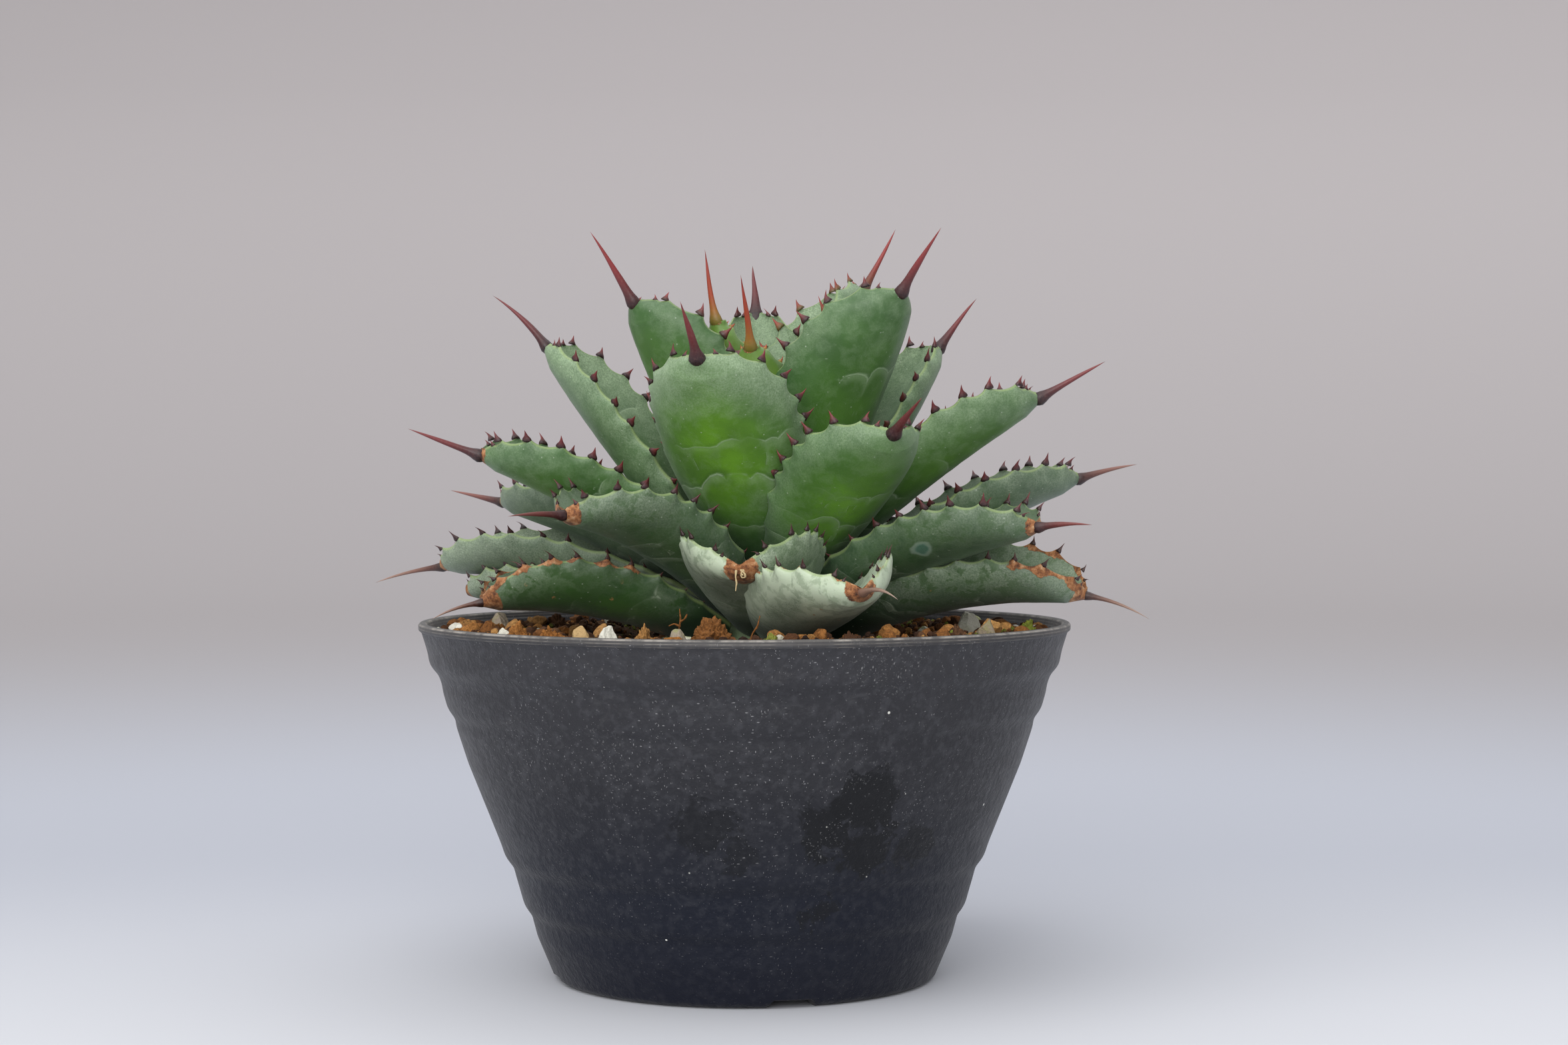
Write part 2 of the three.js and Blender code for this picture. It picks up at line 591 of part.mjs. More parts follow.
function makeSpine(leaf, rank) {
  const tip = frameAt(midribOf(leaf, rank), 1);
  const small = leaf.half < 8 ? 0.8 : 1;
  const middle = -(END_THICKNESS * 0.65) / 2;
  const [spineLength, spineBend] = leaf.spine;
  const pointAt = (share) => {
    const bend = (radians(spineBend) * share) / 2;
    const reach = GAP + spineLength * share;
    return tip.at
      .clone()
      .addScaledVector(tip.along, reach * Math.cos(bend))
      .addScaledVector(tip.up, middle + reach * Math.sin(bend));
  };
  const points = [];
  const triangles = [];
  for (const [share, girth] of SPINE_TAPER) {
    const centre = pointAt(share);
    for (let side = 0; side < SPINE_SIDES; side++) {
      const angle = (2 * Math.PI * side) / SPINE_SIDES;
      const size = SPINE_ROOT * girth * small;
      points.push(
        centre
          .clone()
          .addScaledVector(tip.across, size * Math.cos(angle))
          .addScaledVector(tip.up, size * 0.8 * Math.sin(angle)),
      );
    }
  }
  const apex = points.push(pointAt(1)) - 1;
  const rings = SPINE_TAPER.length;
  for (let ring = 0; ring < rings; ring++) {
    for (let side = 0; side < SPINE_SIDES; side++) {
      const next = (side + 1) % SPINE_SIDES;
      const a = ring * SPINE_SIDES + side;
      const b = ring * SPINE_SIDES + next;
      if (ring === rings - 1) {
        triangles.push([a, b, apex]);
      } else {
        triangles.push([a, b, b + SPINE_SIDES], [a, b + SPINE_SIDES, a + SPINE_SIDES]);
      }
    }
  }
  for (let side = 1; side < SPINE_SIDES - 1; side++) {
    triangles.push([0, side + 1, side]);
  }
  return solidOf(geometryOf(points, triangles));
}

// ---------------------------------------------------------------- assembly

const plant = new THREE.Group();
plant.name = "potted_agave";

// Each leaf is hollowed where the stem and the younger leaves above it press into it.
const cutters = [makeStem(GAP)];
const trimmed = [];
for (let rank = LEAVES.length - 1; rank >= 0; rank--) {
  let body = makeLeaf(LEAVES[rank], rank);
  for (const cutter of cutters) {
    if (boxesMeet(body, cutter)) {
      body = body.subtract(cutter);
    }
  }
  trimmed[rank] = largestBody(body);
  cutters.push(makeLeaf(LEAVES[rank], rank, CUTTER_GROWTH));
}

plant.add(named("pot", geometryFrom(makePot()), potPlastic));
plant.add(named("soil", geometryFrom(withClumps(makeSoil(), cutters)), soilMix));
plant.add(named("stem", geometryFrom(makeStem()), stemSkin));

const bladeMaterial = (rank) => (rank < 13 ? oldLeaf : rank < 26 ? fullLeaf : youngLeaf);
const label = (rank) => String(rank + 1).padStart(2, "0");
LEAVES.forEach((leaf, rank) => {
  plant.add(named(`leaf_${label(rank)}`, geometryFrom(trimmed[rank]), bladeMaterial(rank)));
  if (leaf.spine[0] > 0) {
    plant.add(named(`spine_${label(rank)}`, geometryFrom(makeSpine(leaf, rank)), spineHorn));
  }
});

export default plant;
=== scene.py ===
"""A young agave rosette in a black nursery pot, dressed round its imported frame.

Shapes are worked out in millimetres and written to Blender in metres. +Z is up, -Y is the front,
and the pot's axis is the Z axis. Turns are counted from the front towards the right.
"""

import math

import bpy
import numpy as np
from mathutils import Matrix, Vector
from mathutils.bvhtree import BVHTree


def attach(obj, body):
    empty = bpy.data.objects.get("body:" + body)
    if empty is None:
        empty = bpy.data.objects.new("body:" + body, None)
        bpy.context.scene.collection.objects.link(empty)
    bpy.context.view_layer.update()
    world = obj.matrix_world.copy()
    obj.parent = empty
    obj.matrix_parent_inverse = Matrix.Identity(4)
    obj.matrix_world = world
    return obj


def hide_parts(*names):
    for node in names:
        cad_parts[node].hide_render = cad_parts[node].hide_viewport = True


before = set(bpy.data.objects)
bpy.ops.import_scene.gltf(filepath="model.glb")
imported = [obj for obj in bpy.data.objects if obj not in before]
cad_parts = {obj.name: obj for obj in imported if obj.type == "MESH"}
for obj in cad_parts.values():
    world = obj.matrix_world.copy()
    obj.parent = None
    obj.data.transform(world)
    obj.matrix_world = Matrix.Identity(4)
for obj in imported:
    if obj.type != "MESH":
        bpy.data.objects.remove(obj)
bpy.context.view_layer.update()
scene = bpy.context.scene
MM = 0.001
PER_METRE = 1000.0

# ---------------- camera and light

PICTURE_WIDTH, FOCAL_PIXELS, SENSOR_WIDTH = 2353, 4272.9, 36
CAMERA_PLACE = (0.0, -526.84, 93.72)
CAMERA_DOWN, CAMERA_TO_RIGHT = 1.081, 0.787  # degrees

# Broad soft lights: name, height and turn, spread, strength and colour.
SUNS = [
    ("key", 42, -30, 80, 1.9, (1.0, 0.985, 0.96)),
    ("front", 8, -5, 50, 1.6, (1.0, 0.99, 0.98)),
    ("top", 74, 150, 80, 0.75, (0.97, 0.98, 1.0)),
]
ROOM_COLOUR, ROOM_STRENGTH = (0.98, 0.98, 1.0, 1), 0.54


def add_object(name, data, place=(0, 0, 0), angles=(0, 0, 0)):
    """Links a new object, with its angles in degrees."""
    thing = bpy.data.objects.new(name, data)
    thing.location = place
    thing.rotation_euler = [math.radians(angle) for angle in angles]
    scene.collection.objects.link(thing)
    return thing


def make_camera():
    data = bpy.data.cameras.new("camera")
    data.sensor_width = SENSOR_WIDTH
    data.lens = SENSOR_WIDTH * FOCAL_PIXELS / PICTURE_WIDTH
    data.clip_start, data.clip_end = 0.01, 50
    place = [c * MM for c in CAMERA_PLACE]
    camera = add_object("camera", data, place, (90 - CAMERA_DOWN, 0, -CAMERA_TO_RIGHT))
    bpy.context.scene.camera = camera


def make_lights():
    for name, height, turn, spread, strength, colour in SUNS:
        data = bpy.data.lights.new(name, "SUN")
        data.angle, data.energy, data.color = math.radians(spread), strength, colour
        add_object(name, data, (0, 0, 1), (90 - height, 0, turn))
    world = bpy.data.worlds.new("soft_room")
    world.use_nodes = True
    room = world.node_tree.nodes["Background"]
    room.inputs[0].default_value, room.inputs[1].default_value = ROOM_COLOUR, ROOM_STRENGTH
    scene.world = world


# ---------------- repeatable chance and noise


def scramble(x):
    wave = np.sin(x) * 43758.5453
    return wave - np.floor(wave)


def chance(i, k):
    """A repeatable number from 0 to 1 for item k of row i; works on arrays."""
    return scramble(i * 12.9898 + k * 78.233)


def unit(x):
    return np.clip(x, 0, 1)


def mix(low, high, share):
    return low + (high - low) * share


def ease(low, high, x):
    t = unit((x - low) / (high - low))
    return t * t * (3 - 2 * t)


def lattice(cells, seed):
    x, y, z = np.moveaxis(cells, -1, 0)
    return scramble(x * 127.1 + y * 311.7 + z * 74.7 + seed * 19.19)


def lumps(points, size, seed=0):
    """Smooth repeatable noise from -1 to 1 in three octaves, with features about size wide."""
    total, weights = np.zeros(points.shape[:-1]), 0.0
    for octave in range(3):
        weight = 0.5**octave
        q = points / (size * weight) + 17.3 * (octave + seed)
        cell = np.floor(q)
        f = q - cell
        f = f * f * (3 - 2 * f)
        value = np.zeros(points.shape[:-1])
        for corner in range(8):
            offset = np.array([corner & 1, (corner >> 1) & 1, (corner >> 2) & 1])
            share = np.prod(np.where(offset == 1, f, 1 - f), axis=-1)
            value += share * lattice(cell + offset, seed + octave)
        total += weight * (value * 2 - 1)
        weights += weight
    return total / weights


# ---------------- meshes


def turns(count):
    """Evenly spaced angles of one full turn."""
    return 2 * np.pi * np.arange(count) / count


def around(radius, turn, height):
    """Points about the pot's axis."""
    rows = np.broadcast_arrays(radius * np.sin(turn), -radius * np.cos(turn), height)
    return np.stack(rows, -1)


def tube_faces(rings, sides, closed=False):
    """Quads between rings of points; closed joins the last ring to the first."""
    corner = np.arange(rings * sides).reshape(rings, sides)
    if closed:
        corner = np.vstack([corner, corner[:1]])
    ahead = np.roll(corner, -1, 1)
    return np.stack([corner[:-1], ahead[:-1], ahead[1:], corner[1:]], -1).reshape(-1, 4).tolist()


def fan(start, sides, hub):
    """Triangles from the ring of points that begins at start to its hub."""
    return [(start + s, start + (s + 1) % sides, hub) for s in range(sides)]


def flipped(faces):
    return [face[::-1] for face in faces]


def mesh_piece(name, points, faces, material, replaces=None, layers=None, smooth=True):
    """Makes a mesh from millimetre points, gives it its material and ties it to the frame."""
    mesh = bpy.data.meshes.new(name)
    mesh.from_pydata((np.asarray(points, float) * MM).tolist(), [], faces)
    mesh.polygons.foreach_set("use_smooth", [smooth] * len(faces))
    mesh.validate()
    for key, values in (layers or {}).items():
        layer = mesh.attributes.new(key, "FLOAT_VECTOR", "POINT")
        layer.data.foreach_set("vector", np.asarray(values, float).ravel())
    mesh.materials.append(material)
    piece = add_object(name, mesh)
    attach(piece, "root")
    if replaces:
        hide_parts(replaces)
    return piece


class Heap:
    """Gathers many small forms into one mesh with one layer of values."""

    def __init__(self):
        self.points, self.faces, self.values, self.total = [], [], [], 0

    def add(self, points, faces, values):
        """Adds a form; values are a triple for all its points or for each of them."""
        self.faces += [[i + self.total for i in face] for face in faces]
        self.points.append(points)
        self.values.append(np.broadcast_to(values, (len(points), 3)))
        self.total += len(points)

    def add_horn(self, rings, values):
        """Adds a closed pointed form: rings from the root on, of which the last is its tip."""
        sides = len(rings[0])
        last = (len(rings) - 2) * sides
        faces = [range(sides)[::-1]] + tube_faces(len(rings) - 1, sides)
        faces += fan(last, sides, last + sides)
        self.add(np.vstack(rings)[: 1 - sides], faces, np.repeat(values, sides, 0)[: 1 - sides])

    def piece(self, name, material, slot, key, replaces=None, smooth=True):
        layers = {key: np.vstack(self.values)}
        points = np.vstack(self.points)
        mesh_piece(name, points, self.faces, material, replaces, layers, smooth)


# ---------------- materials


def colour_of(stop):
    return tuple(c / 1000 for c in stop[1:])


def dimmed(colour, share):
    return tuple(share * c for c in colour)


class Shade:
    """A node material built up call by call. Its colour is painted coat over coat."""

    def __init__(self, name):
        self.material = bpy.data.materials.new(name)
        self.material.use_nodes = True
        self.tree = self.material.node_tree
        self.tree.nodes.clear()
        self.surface = self.node("ShaderNodeBsdfPrincipled")
        self.node("ShaderNodeOutputMaterial", {0: self.surface.outputs[0]})
        self.place = self.node("ShaderNodeTexCoord").outputs["Object"]
        self.colour = None

    def feed(self, socket, value):
        if isinstance(value, bpy.types.NodeSocket):
            self.tree.links.new(value, socket)
        elif value is not None:
            socket.default_value = (*value, 1.0) if socket.type == "RGBA" else value

    def node(self, kind, inputs=None, **settings):
        """A node with its settings made and its inputs fed, by name or number."""
        node = self.tree.nodes.new(kind)
        for key, value in settings.items():
            setattr(node, key, value)
        for key, value in (inputs or {}).items():
            self.feed(node.inputs[key], value)
        return node

    def parts(self, vector):
        return self.node("ShaderNodeSeparateXYZ", {0: vector}).outputs[:]

    def layer(self, name):
        """The three values of a layer that the mesh carries."""
        return self.parts(self.node("ShaderNodeAttribute", attribute_name=name).outputs["Vector"])

    def math(self, operation, *values, clamp=False):
        inputs = dict(enumerate(values))
        return self.node("ShaderNodeMath", inputs, operation=operation, use_clamp=clamp).outputs[0]

    def times(self, value, *factors, clamp=False):
        for factor in factors:
            value = self.math("MULTIPLY", value, factor, clamp=clamp)
        return value

    def plus(self, a, b, clamp=False):
        return self.math("ADD", a, b, clamp=clamp)

    def span(self, value, low, high, to_low=0.0, to_high=1.0):
        """A smooth step from to_low at low to to_high at high."""
        inputs = dict(enumerate((value, low, high, to_low, to_high)))
        return self.node("ShaderNodeMapRange", inputs, interpolation_type="SMOOTHSTEP").outputs[0]

    def noise(self, size, detail, rough, distortion=0.0):
        """Noise with features about size millimetres wide."""
        inputs = {"Vector": self.place, "Scale": PER_METRE / size, "Detail": detail}
        inputs.update({"Roughness": rough, "Distortion": distortion})
        return self.node("ShaderNodeTexNoise", inputs).outputs[0]

    def cells(self, size, scales=None, turn=0.0):
        """Distance and colour in cells about size mm wide, turned about all axes and stretched."""
        vector = self.place
        if scales:
            inputs = {"Vector": vector, "Rotation": (turn, turn, turn), "Scale": scales}
            vector = self.node("ShaderNodeMapping", inputs).outputs[0]
        node = self.node("ShaderNodeTexVoronoi", {"Vector": vector, "Scale": PER_METRE / size})
        return node.outputs["Distance"], node.outputs["Color"]

    def dots(self, size, radius, share, scales=None, turn=0.0):
        """Full in round dots: in that share of cells about size wide, radius as a share of size."""
        distance, colour = self.cells(size, scales, turn)
        inside = self.span(distance, radius * 0.6, radius, 1.0, 0.0)
        return self.times(inside, self.math("LESS_THAN", self.parts(colour)[0], share))

    def ramp(self, value, stops):
        """Stops are rows of a place in hundredths and a colour in thousandths."""
        node = self.node("ShaderNodeValToRGB", {0: value})
        elements = node.color_ramp.elements
        while len(elements) < len(stops):
            elements.new(0.5)
        for element, stop in zip(elements, stops):
            element.position = stop[0] / 100
            element.color = (*colour_of(stop), 1.0)
        return node.outputs[0]

    def blend(self, share, a, b):
        return self.node("ShaderNodeMix", {0: share, 6: a, 7: b}, data_type="RGBA").outputs[2]

    def paint(self, share, colour):
        self.colour = self.blend(share, self.colour, colour)

    def bump(self, height, depth):
        """Height in units of depth millimetres."""
        inputs = {"Height": height, "Strength": 1.0, "Distance": depth * MM}
        return self.node("ShaderNodeBump", inputs).outputs[0]

    def finish(self, roughness, normal=None, **plain):
        """Feeds the shader; plain values are the same all over the surface."""
        inputs = {"Base_Color": self.colour, "Roughness": roughness, "Normal": normal, **plain}
        for key, value in inputs.items():
            self.feed(self.surface.inputs[key.replace("_", " ")], value)
        return self.material


THICK_BLOOM, MARGIN_GREEN, SPECK, SCRATCH, BRUISE, BRUISE_RING, SOIL_CRUMB = (
    (0.47, 0.555, 0.41), (0.27, 0.36, 0.13), (0.5, 0.56, 0.46), (0.42, 0.5, 0.36),
    (0.07, 0.17, 0.13), (0.36, 0.46, 0.38), (0.33, 0.19, 0.07),
)
RUST = [
    (30, 35, 14, 9), (42, 150, 55, 22), (52, 310, 125, 45),
    (62, 430, 230, 110), (74, 500, 380, 260),
]
BLOOM_RANGE = 1.5  # the largest bloom, for which the layer says 1
CRUMBS_FADE = (0.0745, 0.071)  # height over which soil crumbs on the leaves get common


def leaf_material(name, deep, vivid, bloom):
    """Waxy skin. Layers: tone (vivid, bloom, painted shade at the stem and near the soil), mark
    (print distance, margin distance, dark), wear (rust, print strength, bruise distance)."""
    m = Shade(name)
    vivid_share, bloom_share, deep_shade = m.layer("tone")
    print_distance, margin_distance, dark = m.layer("mark")
    rust_share, print_strength, bruise = m.layer("wear")
    bloom_share = m.times(bloom_share, BLOOM_RANGE)
    grain = m.noise(0.3, 3.0, 0.65)
    blotch = m.noise(2.6, 4.0, 0.65, 0.35)
    cloud = m.noise(8.0, 3.0, 0.5)

    m.colour = m.blend(vivid_share, deep, vivid)
    m.paint(m.span(cloud, 0.35, 0.7, 0.0, 0.4), dimmed(deep, 0.62))
    frost = m.plus(bloom_share, m.span(blotch, 0.3, 0.72, -0.1, 0.11))
    frost = m.times(frost, m.span(grain, 0.3, 0.7, 0.62, 1.32), clamp=True)

    # Prints of the neighbours' margins: a pale line, a soft pale side and a shadow beyond it.
    line = m.span(m.math("ABSOLUTE", print_distance), 0.03, 0.26, 1.0, 0.0)
    side = m.span(print_distance, -2.2, -0.05)
    side = m.times(side, m.span(print_distance, -0.05, 0.12, 1.0, 0.0))
    pale = m.times(m.plus(m.times(line, 0.52), m.times(side, 0.36)), print_strength)
    frost = m.plus(frost, pale, clamp=True)
    m.paint(frost, bloom)
    m.paint(m.span(bloom_share, 0.95, 1.4), THICK_BLOOM)
    shadow = m.times(m.span(print_distance, 0.9, 0.1), m.span(print_distance, 0.0, 0.12))
    m.paint(m.times(shadow, print_strength, 0.4), dimmed(deep, 0.6))

    rubbed = tuple(0.55 * d + 0.3 * v for d, v in zip(deep, vivid))
    m.paint(m.times(dark, m.span(blotch, 0.47, 0.6)), rubbed)
    # painted shade: darker at the stem and on the low parts near the soil
    m.paint(deep_shade, dimmed(deep, 0.35))
    m.paint(m.span(margin_distance, 0.06, 0.3, 0.55, 0.0), MARGIN_GREEN)
    m.paint(m.span(m.cells(1.9)[0], 0.05, 0.1, 0.35, 0.0), SPECK)
    scratch = m.span(m.cells(1.3, (0.35, 0.35, 1.6), 0.7)[0], 0.04, 0.09, 0.5, 0.0)
    m.paint(m.times(scratch, m.span(cloud, 0.5, 0.6)), SCRATCH)

    ring = m.times(m.span(bruise, -0.9, -0.1), m.span(bruise, 0.6, 0.0))
    m.paint(m.span(bruise, 0.0, -0.6, 0.0, 0.6), BRUISE)
    m.paint(m.times(ring, 0.38), BRUISE_RING)

    crumbs = m.dots(3.2, 0.14, 0.45, (1, 1, 0.6), 0.5)
    crumbs = m.times(crumbs, m.span(m.parts(m.place)[2], *CRUMBS_FADE))
    m.paint(m.times(crumbs, m.span(grain, 0.42, 0.55)), SOIL_CRUMB)

    fibre = m.noise(1.3, 5.0, 0.68)
    ragged = m.span(m.noise(1.2, 4.0, 0.7), 0.2, 0.8, -0.3, 0.3)
    corky = m.span(m.plus(rust_share, ragged), 0.4, 0.6)
    m.paint(corky, m.ramp(fibre, RUST))

    height = m.plus(m.times(grain, 0.45), m.times(corky, fibre))
    height = m.plus(height, m.times(line, print_strength, 0.5))
    rough = m.plus(m.span(frost, 0.0, 0.9, 0.38, 0.6), m.times(corky, 0.25))
    return m.finish(
        rough, m.bump(height, 0.1), Specular_IOR_Level=0.4,
        Sheen_Weight=0.1, Sheen_Roughness=0.45, Sheen_Tint=(0.8, 0.92, 0.85),
        Subsurface_Weight=0.06, Subsurface_Radius=(0.6, 1.0, 0.3), Subsurface_Scale=0.0015,
    )


# Colours from root to tip of weathered, ripe, red and new horn, and the redness where each ends.
HORN_STAGES = [
    (0.0, [(0, 22, 10, 8), (14, 80, 32, 22), (38, 190, 100, 68),
           (70, 300, 200, 150), (100, 420, 320, 260)]),
    (0.33, [(0, 16, 6, 8), (14, 60, 13, 15), (40, 140, 20, 23),
            (80, 190, 28, 30), (100, 200, 50, 45)]),
    (0.66, [(0, 30, 8, 10), (20, 120, 18, 20), (50, 250, 26, 28),
            (100, 300, 40, 40)]),
    (1.0, [(0, 250, 200, 30), (14, 420, 170, 30), (36, 480, 80, 30),
           (80, 400, 45, 30), (100, 200, 30, 25)]),
]


def horn_material():
    """Teeth and end spines. Layer horn: (along 0 to 1, redness, chance)."""
    m = Shade("horn")
    along, redness, odd = m.layer("horn")
    fibre = m.noise(0.4, 3.0, 0.6)
    m.colour = m.ramp(along, HORN_STAGES[0][1])
    for (low, _), (high, stops) in zip(HORN_STAGES, HORN_STAGES[1:]):
        m.paint(m.span(redness, low, high), m.ramp(along, stops))
    m.paint(m.span(fibre, 0.4, 0.8, 0.0, 0.25), (0.22, 0.11, 0.09))
    m.paint(m.times(odd, 0.3), (0.02, 0.008, 0.01))
    rough = m.span(fibre, 0.3, 0.7, 0.34, 0.52)
    return m.finish(rough, m.bump(fibre, 0.05), Specular_IOR_Level=0.5)


# ---------------- leaves

STEM_PLACE = np.array([5.0, 1.0, 0.0])
CROWN_LOW, CROWN_RISE = 64.2, 18.6
OLD_BASE_RADIUS, YOUNG_BASE_RADIUS = 9.8, 3.9
BASE_THICKNESS, END_THICKNESS = 5.0, 2.4
BASE_WIDTH, WIDEST_AT, BLUNT_HALF_WIDTH = 0.42, 0.6, 1.3
YOUNG_HALF_WIDTH = 8  # narrower leaves are young, with smaller teeth and spines
TEETH, TOOTH_HEIGHT = 8, 3.1
SPINE_ROOT, GAP = 1.6, 0.3

# The leaves from the oldest to the youngest, as in the part's source: turn, swing, slope at the
# stem and at the tip, roll, length, half width, fold, spine length, spine bend.
LEAVES = [
    (-72, 3, 22, -6, 6, 46, 12.5, 57, 9.6, -23),
    (76, 1, 24, -8, 7, 50, 13.5, 56, 12, -25),
    (-110, -1, 15, -3, 1, 53, 9.5, 55, 0, 0),
    (16, 10, 6, 14, 6, 45, 13.4, 65, 13.2, -34),
    (176, 0, 16, -2, 0, 41, 13, 55, 11.2, 0),
    (-9, 1, 30, 8, 3, 31, 14.2, 59, 0, 0),
    (-110, 3, 21, -6, -2, 60, 12.5, 53, 14.6, -14),
    (140, 0, 22, 4, 0, 46, 13, 55, 11, 0),
    (-144, 0, 24, 6, 0, 44, 13, 55, 11, 0),
    (-47, 3, 38, 5, 0, 46, 12, 56, 12, -11),
    (56, -3, 22, 10, 0, 50, 12, 54, 10.5, -15),
    (-116, 0, 26, 11, -2, 53, 13, 54, 12, -1),
    (93, 1, 26, 19, -1, 54, 12.5, 50, 11.2, -11),
    (-168, 0, 36, 24, 0, 45, 13, 55, 11, 0),
    (-77, 0, 33, 20, -2, 53, 13, 53, 13.5, 0),
    (158, 0, 44, 34, 0, 46, 13, 55, 11, 0),
    (-97, -1, 46, 54, -7, 55, 13, 50, 14, -22),
    (28, -7, 35, 32, -4, 45, 12.5, 53, 11.5, -2),
    (111, -1, 58, 54, 6, 49, 12.5, 44, 12.5, -8),
    (81, 0, 40, 30, -2, 53, 13, 55, 13.5, -2),
    (-147, 0, 54, 42, 0, 40, 13, 55, 11, 0),
    (-20, 4, 44, 49, 4, 48, 14.5, 47, 12.5, -3),
    (48, 0, 70, 53, -6, 53, 14, 56, 14, -4),
    (-60, 0, 66, 58, 4, 50, 13.5, 54, 15, -7),
    (188, -4, 70, 68, -4, 46, 11, 59, 10.5, -3),
    (129, -7, 86, 54, -18, 50, 14, 66, 14.5, 5),
    (-41, 0, 75, 74, 0, 40, 5, 55, 13, 4),
    (-12, -4, 70, 63, 0, 36, 6.5, 55, 14, -4),
]


class Blade:
    """The gutter-shaped blade of one leaf. u runs from the stem to the tip, v across it."""

    STEPS = 64

    def __init__(self, rank):
        turn, swing, lift, end, roll = LEAVES[rank][:5]
        self.length, self.half, self.fold, self.spine, self.bend = LEAVES[rank][5:]
        self.rank = rank
        age = rank / (len(LEAVES) - 1)
        radius = mix(OLD_BASE_RADIUS, YOUNG_BASE_RADIUS, age)
        u = np.linspace(0, 1, self.STEPS + 1)
        slope = np.radians(mix(lift, end, u))
        heading = np.radians(turn + swing * (u - 0.5))
        tilt = (np.radians(roll) * (0.4 + 0.6 * u))[:, None]
        sin, cos = np.sin(heading), np.cos(heading)
        self.along = np.stack([np.cos(slope) * sin, -np.cos(slope) * cos, np.sin(slope)], 1)
        level = np.stack([cos, sin, 0 * u], 1)
        raised = np.stack([-np.sin(slope) * sin, np.sin(slope) * cos, np.cos(slope)], 1)
        self.across = level * np.cos(tilt) + raised * np.sin(tilt)
        self.up = raised * np.cos(tilt) - level * np.sin(tilt)
        height = CROWN_LOW + CROWN_RISE * age**1.08
        start = STEM_PLACE + around(radius, math.radians(turn), height)
        moves = (self.along[1:] + self.along[:-1]) * 0.5 * self.length / self.STEPS
        self.at = np.vstack([start, start + np.cumsum(moves, 0)])

    def frames(self, u):
        """The midrib's points at u, and the directions along, across and up there."""
        grid = np.linspace(0, 1, self.STEPS + 1)
        pick = lambda rows: np.stack([np.interp(u, grid, rows[:, k]) for k in range(3)], -1)
        return pick(self.at), pick(self.along), pick(self.across), pick(self.up)

    def half_width(self, u):
        low = mix(BASE_WIDTH, 1, np.sin(np.pi / 2 * unit(u / WIDEST_AT)))
        past = unit((u - WIDEST_AT) / (1 - WIDEST_AT))
        high = np.maximum(0, 1 - past**2.3) ** 0.62
        return np.maximum(BLUNT_HALF_WIDTH, self.half * np.where(u < WIDEST_AT, low, high))

    def thickness(self, u, v):
        end = np.where(u > 0.93, 1 - 5 * (u - 0.93), 1)
        return mix(BASE_THICKNESS, END_THICKNESS, u) * np.sqrt(np.maximum(0, 1 - v * v)) * end

    def point(self, u, v, depth=0.0, wider=0.0):
        """Points, depth mm below the upper face and moved wider mm out, and the way inward."""
        u, v = np.broadcast_arrays(np.asarray(u, float), np.asarray(v, float))
        at, _, across, up = self.frames(u)
        half = self.half_width(u)
        fold = np.radians(self.fold) * (0.55 + 0.45 * np.sin(np.pi * 0.62 * u))
        bow = (half / fold)[..., None]
        angle = (fold * v + np.sign(v) * wider * fold / half)[..., None]
        inward = up * np.cos(angle) - across * np.sin(angle)
        depth = np.broadcast_to(np.asarray(depth, float), u.shape)[..., None]
        face = at + across * bow * np.sin(angle) + up * bow * (1 - np.cos(angle))
        return face - inward * depth, inward

    def margin(self, u, side):
        """Margin points with their outward and forward directions."""
        edge, _ = self.point(u, side)
        within, _ = self.point(u, side * 0.96)
        ahead, _ = self.point(np.minimum(1, u + 0.01), side)
        behind, _ = self.point(np.minimum(1, u + 0.01) - 0.02, side)
        forward = ahead - behind
        forward /= np.linalg.norm(forward, axis=-1, keepdims=True)
        out = edge - within
        out -= forward * np.sum(out * forward, -1, keepdims=True)
        out /= np.linalg.norm(out, axis=-1, keepdims=True)
        return edge, out, forward


def tooth_rows(blade, side):
    """Places u, heights and hooks of the teeth on one margin: the solid's and two tiny ones."""
    k = np.arange(TEETH)
    row = blade.rank + 1
    small = 0.55 if blade.half < YOUNG_HALF_WIDTH else 1.0
    wander = chance(row, k + (40 if side > 0 else 0)) - 0.5
    wander = wander * 0.025 * np.where(k < TEETH - 1, 1, 0.3)
    u = 0.24 + 0.72 * (k / (TEETH - 1)) ** 0.88 + wander
    from_stem, from_tip = unit((u - 0.15) / 0.35), unit((1.04 - u) / 0.16)
    height = TOOTH_HEIGHT * (0.25 + 0.75 * from_stem) * (0.45 + 0.55 * from_tip) * small
    height = height * (0.85 + 0.3 * chance(row, k + 80))
    hook = (chance(row, k + 120) - 0.3) * 0.9 * small
    u = np.concatenate([u, [0.155, 0.985 - 0.01 * chance(blade.rank, 9)]])
    height = np.concatenate([height, np.array([0.75, 0.95]) * small])
    hook = np.concatenate([hook, [0.0, 0.35 * small]])
    order = np.argsort(u)
    return u[order], height[order], hook[order], small


def scallops(blade, side, u):
    """How far the margin swells out at u: hollow arcs that meet in a mound under each tooth."""
    at, height, _, _ = tooth_rows(blade, side)
    ends = np.concatenate([[0.06], at, [1.03]])
    mounds = np.concatenate([[0.0], np.minimum(1.3, 0.48 * height), [0.0]])
    swell = np.zeros_like(u)
    for k in range(len(ends) - 1):
        t = (u - ends[k]) / (ends[k + 1] - ends[k])
        arc = mounds[k] * np.maximum(0, 1 - 2 * t) ** 2
        arc = arc + mounds[k + 1] * np.maximum(0, 2 * t - 1) ** 2
        swell = np.where((t >= 0) & (t <= 1), arc, swell)
    return swell


